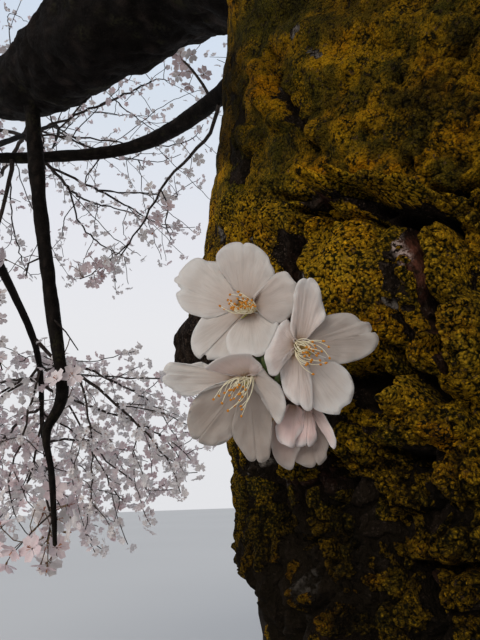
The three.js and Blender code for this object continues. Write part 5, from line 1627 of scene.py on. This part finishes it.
def make_cluster():
    r = np.random.default_rng(41)
    pieces = {}
    groups = {"upper": "bloom_upper", "right": "bloom_right", "lower_left": "bloom_lower_left", "half_open": "bloom_half_open"}
    material = petal_near_material()
    for seed, (name, sheet, base, outline, shape, blush) in enumerate(PETALS):
        key = "lower_left" if name.startswith("lower_left") else ("half_open" if name.startswith("half_open") else name.split("_")[0])
        petal_mesh(pieces.setdefault(key, Bundle()), name, sheet, base, outline, shape, blush, seed + 1)
    made = []
    for key, b in pieces.items():
        ob = b.mesh("petals_" + key, material=material)
        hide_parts(groups[key])
        made.append(ob)
    # stamens
    threads, anthers = Bundle(), Bundle()
    for sheet, foot, depth, (sx, sy), tips, (bow_x, bow_y), stand in ANTHERS:
        lead = np.mean(tips, axis=0) - np.array(foot)
        lead = lead / np.linalg.norm(lead)
        for x, y in tips:
            ang = r.random() * TAU
            f = sheet((foot[0] + sx * math.cos(ang), foot[1] + sy * math.sin(ang)))
            t = sheet((x + r.normal() * 4, y + r.normal() * 4))
            # a thread leaves the ring steeply and bends in again to its anther
            chord = t - f
            side = np.sign(lead[0] * (y - foot[1]) - lead[1] * (x - foot[0]))
            bow = np.array([-chord[1], chord[0]]) * side * (0.10 + 0.10 * r.random()) + np.array([bow_x, bow_y]) / sheet.scale * 0.25 * r.random()
            s = np.array([0, 0.2, 0.45, 0.72, 1.0])
            path = f + chord * s[:, None] + 4 * bow * (s * (1 - s))[:, None]
            lift = stand * (0.75 + 0.4 * r.random())
            line = sheet.place(path[:, 0], path[:, 1], depth + np.array([1.4, -lift * 0.35, -lift * 0.72, -lift * 0.95, -lift]))
            q = course(line)(np.linspace(0, 1, 11))
            add_tube(threads, q, np.linspace(0.00015, 0.00011, len(q)), 5)
            ax = unit(unit(q[-1] - q[-2]) + 0.8 * r.normal(size=3))
            v, qd, tr = blob(q[-1], ax, 0.00100 * (0.85 + 0.3 * r.random()), 0.00072, 7, 5)
            anthers.add(v, qd, tr)
    # pistils: a green style with its stigma
    for sheet, foot, depth, tip, lift in [(S1, (905, 900), 155.2, (838, 962), 1.2), (S2, (400, 820), 151.6, (545, 878), 3.4), (S3, (1050, 380), 150.6, (985, 470), 3.0)]:
        f, t = sheet(foot), sheet(tip)
        line = sheet.place(np.array([f[0], (f[0] + t[0]) / 2, t[0]]), np.array([f[1], (f[1] + t[1]) / 2 + 0.6, t[1]]), depth + np.array([1.0, -lift * 0.6, -lift]))
        q = course(line)(np.linspace(0, 1, 9))
        pieces.setdefault("pistil", Bundle())
        add_tube(pieces["pistil"], q, np.linspace(0.00034, 0.00016, len(q)), 7)
        v, qd, tr = blob(q[-1], q[-1] - q[-2], 0.0006, 0.00066, 7, 5)
        pieces["pistil"].add(v, qd, tr)
    ob = threads.mesh("stamen_threads", material=plain_material("filaments", (0.90, 0.80, 0.54), (0.94, 0.88, 0.68), 900, 0.5))
    ob = anthers.mesh("anthers", material=plain_material("anthers", (0.80, 0.34, 0.02), (0.58, 0.19, 0.012), 2400, 0.6))
    ob = pieces["pistil"].mesh("pistils", material=plain_material("pistils", (0.36, 0.34, 0.07), (0.46, 0.40, 0.10), 900, 0.5))

    # the cup that the petals stand round
    cups = Bundle()
    for sheet, centre, ring, depth in [(S1, (890, 872), [(872, 770), (770, 825), (830, 905), (930, 905), (985, 800)], 156.9),
                                       (S2, (425, 808), [(440, 748), (500, 790), (450, 870), (405, 880), (385, 790)], 152.5),
                                       (S3, (1040, 372), [(1010, 345), (900, 360), (990, 400), (1060, 420), (1090, 365)], 151.7)]:
        c, pts = sheet(centre), sheet(ring)
        reach_px = np.linalg.norm(pts - c, axis=1).mean() * 1.25 + 2.5
        m, k = 28, 6
        ang = np.arange(m) * TAU / m
        u = np.linspace(0.12, 1, k)
        ex = np.array([pts[:, 0].max() - pts[:, 0].min(), pts[:, 1].max() - pts[:, 1].min()])
        ex = ex / ex.max() * 0.5 + 0.5
        px = c[0] + reach_px * ex[0] * u[:, None] * np.cos(ang)
        py = c[1] + reach_px * ex[1] * u[:, None] * np.sin(ang)
        dd = depth + 1.5 * (1 - u[:, None] ** 2) + 0 * px
        outer = sheet.place(px, py, dd).reshape(-1, 3)
        inner = sheet.place(px, py, dd + 0.5).reshape(-1, 3)
        mid_a, mid_b = sheet.place(c[0], c[1], depth + 1.5), sheet.place(c[0], c[1], depth + 2.0)
        n = k * m
        v = np.concatenate([outer, inner, mid_a[None], mid_b[None]])
        a = ring_faces(k, m)
        i = np.arange(m)
        j = (i + 1) % m
        wall = np.stack([n - m + i, n - m + j, 2 * n - m + j, 2 * n - m + i], -1)
        tri = np.concatenate([np.stack([np.full(m, 2 * n), j, i], -1), np.stack([np.full(m, 2 * n + 1), n + i, n + j], -1)])
        cups.add(v, np.concatenate([a, a[:, ::-1] + n, wall]), tri)
    ob = cups.mesh("cups_near", material=plain_material("cups", (0.62, 0.40, 0.08), (0.50, 0.30, 0.12), 700, 0.5))

    # calyces, stalks, bracts and the spur
    green = Bundle()
    tip = np.array([-0.2205, -0.117, 1.4015])
    root = np.array([-0.219, -0.050, 1.410])
    backs = []
    for sheet, at, depth, back_px, back in [(S1, (900, 870), 161.4, (4, 3), 6.5), (S2, (420, 808), 156.4, (-5, 0), 6.5), (S3, (1040, 368), 155.2, (4, -5), 6.0), (S4, (700, 150), 158.4, (2, -8), 5.5)]:
        c = sheet(at)
        a = sheet.place(c[0], c[1], depth)
        b = sheet.place(c[0] + back_px[0], c[1] + back_px[1], depth + back)
        d = unit(b - a)
        q = a + d * np.array([-0.0006, 0.0004, 0.0022, 0.0044, 0.0062])[:, None] * (back / 6.5)
        add_tube(green, q, np.array([0.0030, 0.0026, 0.0020, 0.0017, 0.0010]) * 0.9, 12, tone=0.55)
        backs.append((q[-1], d))
        # sepals fold back behind the petals
        x = unit(np.cross(d, [0.2, 0.3, 0.93]))
        y = np.cross(d, x)
        for k in range(5):
            ang = (k + 0.5) * TAU / 5 + 0.3
            out = math.cos(ang) * x + math.sin(ang) * y
            leaf(green, a + d * 0.0014 + out * 0.0018, unit(out + d * 0.25), d, 0.0062, 0.0034, 0.45 + 0.3 * r.random(), r)
    for (end, d), sag in zip(backs, (0.002, -0.002, 0.003, 0.001)):
        lead = end + d * 0.006
        q = course(np.array([tip + unit(end - tip) * 0.001, (tip * 0.55 + lead * 0.45) + np.array([sag, 0, -abs(sag)]), lead, end]))(np.linspace(0, 1, 14))
        add_tube(green, q, np.linspace(0.00085, 0.00068, len(q)), 8, tone=0.35)
    # two narrow bracts that show between the blooms
    for sheet, at, depth, to, width, tone in [(S1, (1010, 1330), 156.6, (1085, 1500), 0.0030, 0.08), (S1, (1075, 1370), 156.9, (975, 1470), 0.0034, 0.72),
                                              (S3, (1225, 120), 154.4, (1262, 310), 0.0026, 0.1), (S3, (1410, 330), 154.8, (1360, 440), 0.0030, 0.3)]:
        p, q = sheet(at), sheet(to)
        a, b = unproject(p[0], p[1], depth / 1000), unproject(q[0], q[1], (depth + 0.4) / 1000)
        leaf(green, a - unit(b - a) * 0.002, unit(b - a), -FORWARD, np.linalg.norm(b - a) + 0.0025, width, tone, r)
    t = Tree("calyx_green")
    tone = t.attribute("tone")
    c = t.mix(t.span(t.math("ADD", tone, t.math("MULTIPLY", t.math("SUBTRACT", t.noise(420, 2), 0.5), 0.8)), 0.2, 0.7), (0.045, 0.085, 0.018), (0.20, 0.075, 0.035))
    t.feed(t.bsdf.inputs["Base Color"], t.mix(t.span(t.noise(1500, 2), 0.5, 0.7, 0.0, 0.5), c, (0.16, 0.13, 0.05)))
    t.feed(t.bsdf.inputs["Roughness"], t.span(t.noise(900, 1), 0.3, 0.7, 0.42, 0.6))
    t.feed(t.bsdf.inputs["Normal"], t.bump(t.noise(1400, 2), 0.0002, 0.6))
    ob = green.mesh("calyces_near", material=t.material)
    # the spur: short, ringed by old bud scales
    spur = Bundle()
    q = root + (tip - root) * np.linspace(0, 1, 30)[:, None]
    s = np.linspace(0, 1, 30)
    add_tube(spur, q, (0.0078 + (0.0040 - 0.0078) * s) * (1 + 0.10 * np.sin(s * 46) + 0.06 * np.sin(s * 23)), 20)
    d = unit(tip - root)
    x = unit(np.cross(d, [0.2, 0.3, 0.93]))
    y = np.cross(d, x)
    for k in range(22):
        ang, at = k * 2.4, tip + (root - tip) * (0.02 + 0.24 * (k % 5) / 5)
        out = math.cos(ang) * x + math.sin(ang) * y
        leaf(spur, at + out * 0.0030, unit(d * (1.3 - 0.15 * (k % 5)) + out * 0.8), unit(out), 0.0052, 0.0034, 0.5, r)
    ob = spur.mesh("spur_bark", material=plain_material("spur_bark", (0.050, 0.030, 0.020), (0.13, 0.085, 0.055), 700, 0.75))
    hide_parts("bloom_spur")


def leaf(target, foot, along, up, length, width, tone, r):
    """A small pointed scale or sepal, thick enough to be a solid."""
    along = unit(along)
    side = unit(np.cross(along, up))
    up = np.cross(side, along)
    n = 7
    t = np.linspace(0, 1, n)
    w = width / 2 * np.sin(math.pi * np.clip(t * 0.82 + 0.14, 0, 1)) ** 0.8
    mid = foot + along * (t * length)[:, None] + up * (0.14 * length * np.sin(math.pi * t * 0.9))[:, None]
    rows = []
    for lift, thick in ((1, 0.00012), (-1, 0.00012)):
        for k in (-1, 0, 1):
            rows.append(mid + side * (w * k)[:, None] + up * (lift * thick + (0.12 * w * abs(k)))[:, None])
    v = np.concatenate(rows)
    ids = lambda row: row * n + np.arange(n)
    ring = [ids(0), ids(1), ids(2), ids(5), ids(4), ids(3)]
    quads = []
    for a, b in zip(ring, ring[1:] + ring[:1]):
        quads += [(a[i], a[i + 1], b[i + 1], b[i]) for i in range(n - 1)]
    caps = []
    for i in (0, n - 1):
        c = [q[i] for q in ring]
        caps += [(c[0], c[1], c[4], c[5]), (c[1], c[2], c[3], c[4])] if i == 0 else [(c[5], c[4], c[1], c[0]), (c[4], c[3], c[2], c[1])]
    extra = {"tone": tone} if "tone" in target.extra or not target.extra and target.count == 0 else {}
    if "tone" in target.extra:
        extra = {"tone": tone}
    else:
        extra = {}
    target.add(v, np.array(quads + caps), **extra)


trunk_pieces = make_trunk()
limbs = grow_crown()
make_cluster()


# ------------------------------------------------------------------ floor and light
def make_stage():
    t = Tree("floor_pale")
    t.feed(t.bsdf.inputs["Base Color"], t.mix(t.span(t.noise(0.12, 2), 0.3, 0.7), (0.565, 0.555, 0.54), (0.585, 0.575, 0.56)))
    set_value(t, Roughness=0.9)
    n, r = 96, 90.0
    ang = np.arange(n) * TAU / n
    rings = [np.array([[0, 0, -0.001]])] + [np.stack([k * np.cos(ang), k * np.sin(ang), 0 * ang - 0.001], -1) for k in (6.0, r)]
    tri = np.array([[0, 1 + i, 1 + (i + 1) % n] for i in range(n)])
    quad = np.array([[1 + i, 1 + n + i, 1 + n + (i + 1) % n, 1 + (i + 1) % n] for i in range(n)])
    floor = make_mesh("floor", np.concatenate(rings), [tri, quad], material=t.material)
    floor.parent = None
    del floor["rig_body"]

    world = bpy.data.worlds.new("sky")
    scene.world = world
    world.use_nodes = True
    nodes, links = world.node_tree.nodes, world.node_tree.links
    nodes.clear()
    out, back = nodes.new("ShaderNodeOutputWorld"), nodes.new("ShaderNodeBackground")
    ramp, sep, coord = nodes.new("ShaderNodeValToRGB"), nodes.new("ShaderNodeSeparateXYZ"), nodes.new("ShaderNodeTexCoord")
    links.new(coord.outputs["Generated"], sep.inputs[0])
    links.new(sep.outputs["Z"], ramp.inputs[0])
    links.new(ramp.outputs[0], back.inputs[0])
    links.new(back.outputs[0], out.inputs[0])
    e = ramp.color_ramp.elements
    e[0].position, e[0].color = 0.0, (0.63, 0.635, 0.655, 1)
    e[1].position, e[1].color = 1.0, (0.47, 0.56, 0.70, 1)
    for at, colour in ((0.30, (0.665, 0.668, 0.69, 1)), (0.48, (0.64, 0.65, 0.695, 1)), (0.66, (0.575, 0.63, 0.705, 1)), (0.80, (0.56, 0.65, 0.78, 1))):
        e.new(at).color = colour
    glow = nodes.new("ShaderNodeMapRange")  # brighter over the open side than behind the viewer
    links.new(sep.outputs["Y"], glow.inputs["Value"])
    for key, v in (("From Min", -0.6), ("From Max", 0.8), ("To Min", 0.58), ("To Max", 1.22)):
        glow.inputs[key].default_value = v
    links.new(glow.outputs[0], back.inputs[1])

    def lamp(name, kind, energy, colour, at, to, **more):
        data = bpy.data.lights.new(name, kind)
        data.energy, data.color = energy, colour
        for k, v in more.items():
            setattr(data, k, v)
        ob = bpy.data.objects.new(name, data)
        scene.collection.objects.link(ob)
        ob.location = at
        d = np.array(to, float) - np.array(at, float)
        from mathutils import Vector
        ob.rotation_mode = "QUATERNION"
        ob.rotation_quaternion = Vector(d).to_track_quat("-Z", "Y")
        ob.visible_camera = False
        return ob

    lamp("sun", "SUN", 1.7, (1.0, 0.95, 0.88), (-5, -9, 6.5), (0, 0, 1.4), angle=math.radians(34))
    scene.view_settings.view_transform = "Standard"
    scene.view_settings.look = "None"


make_stage()
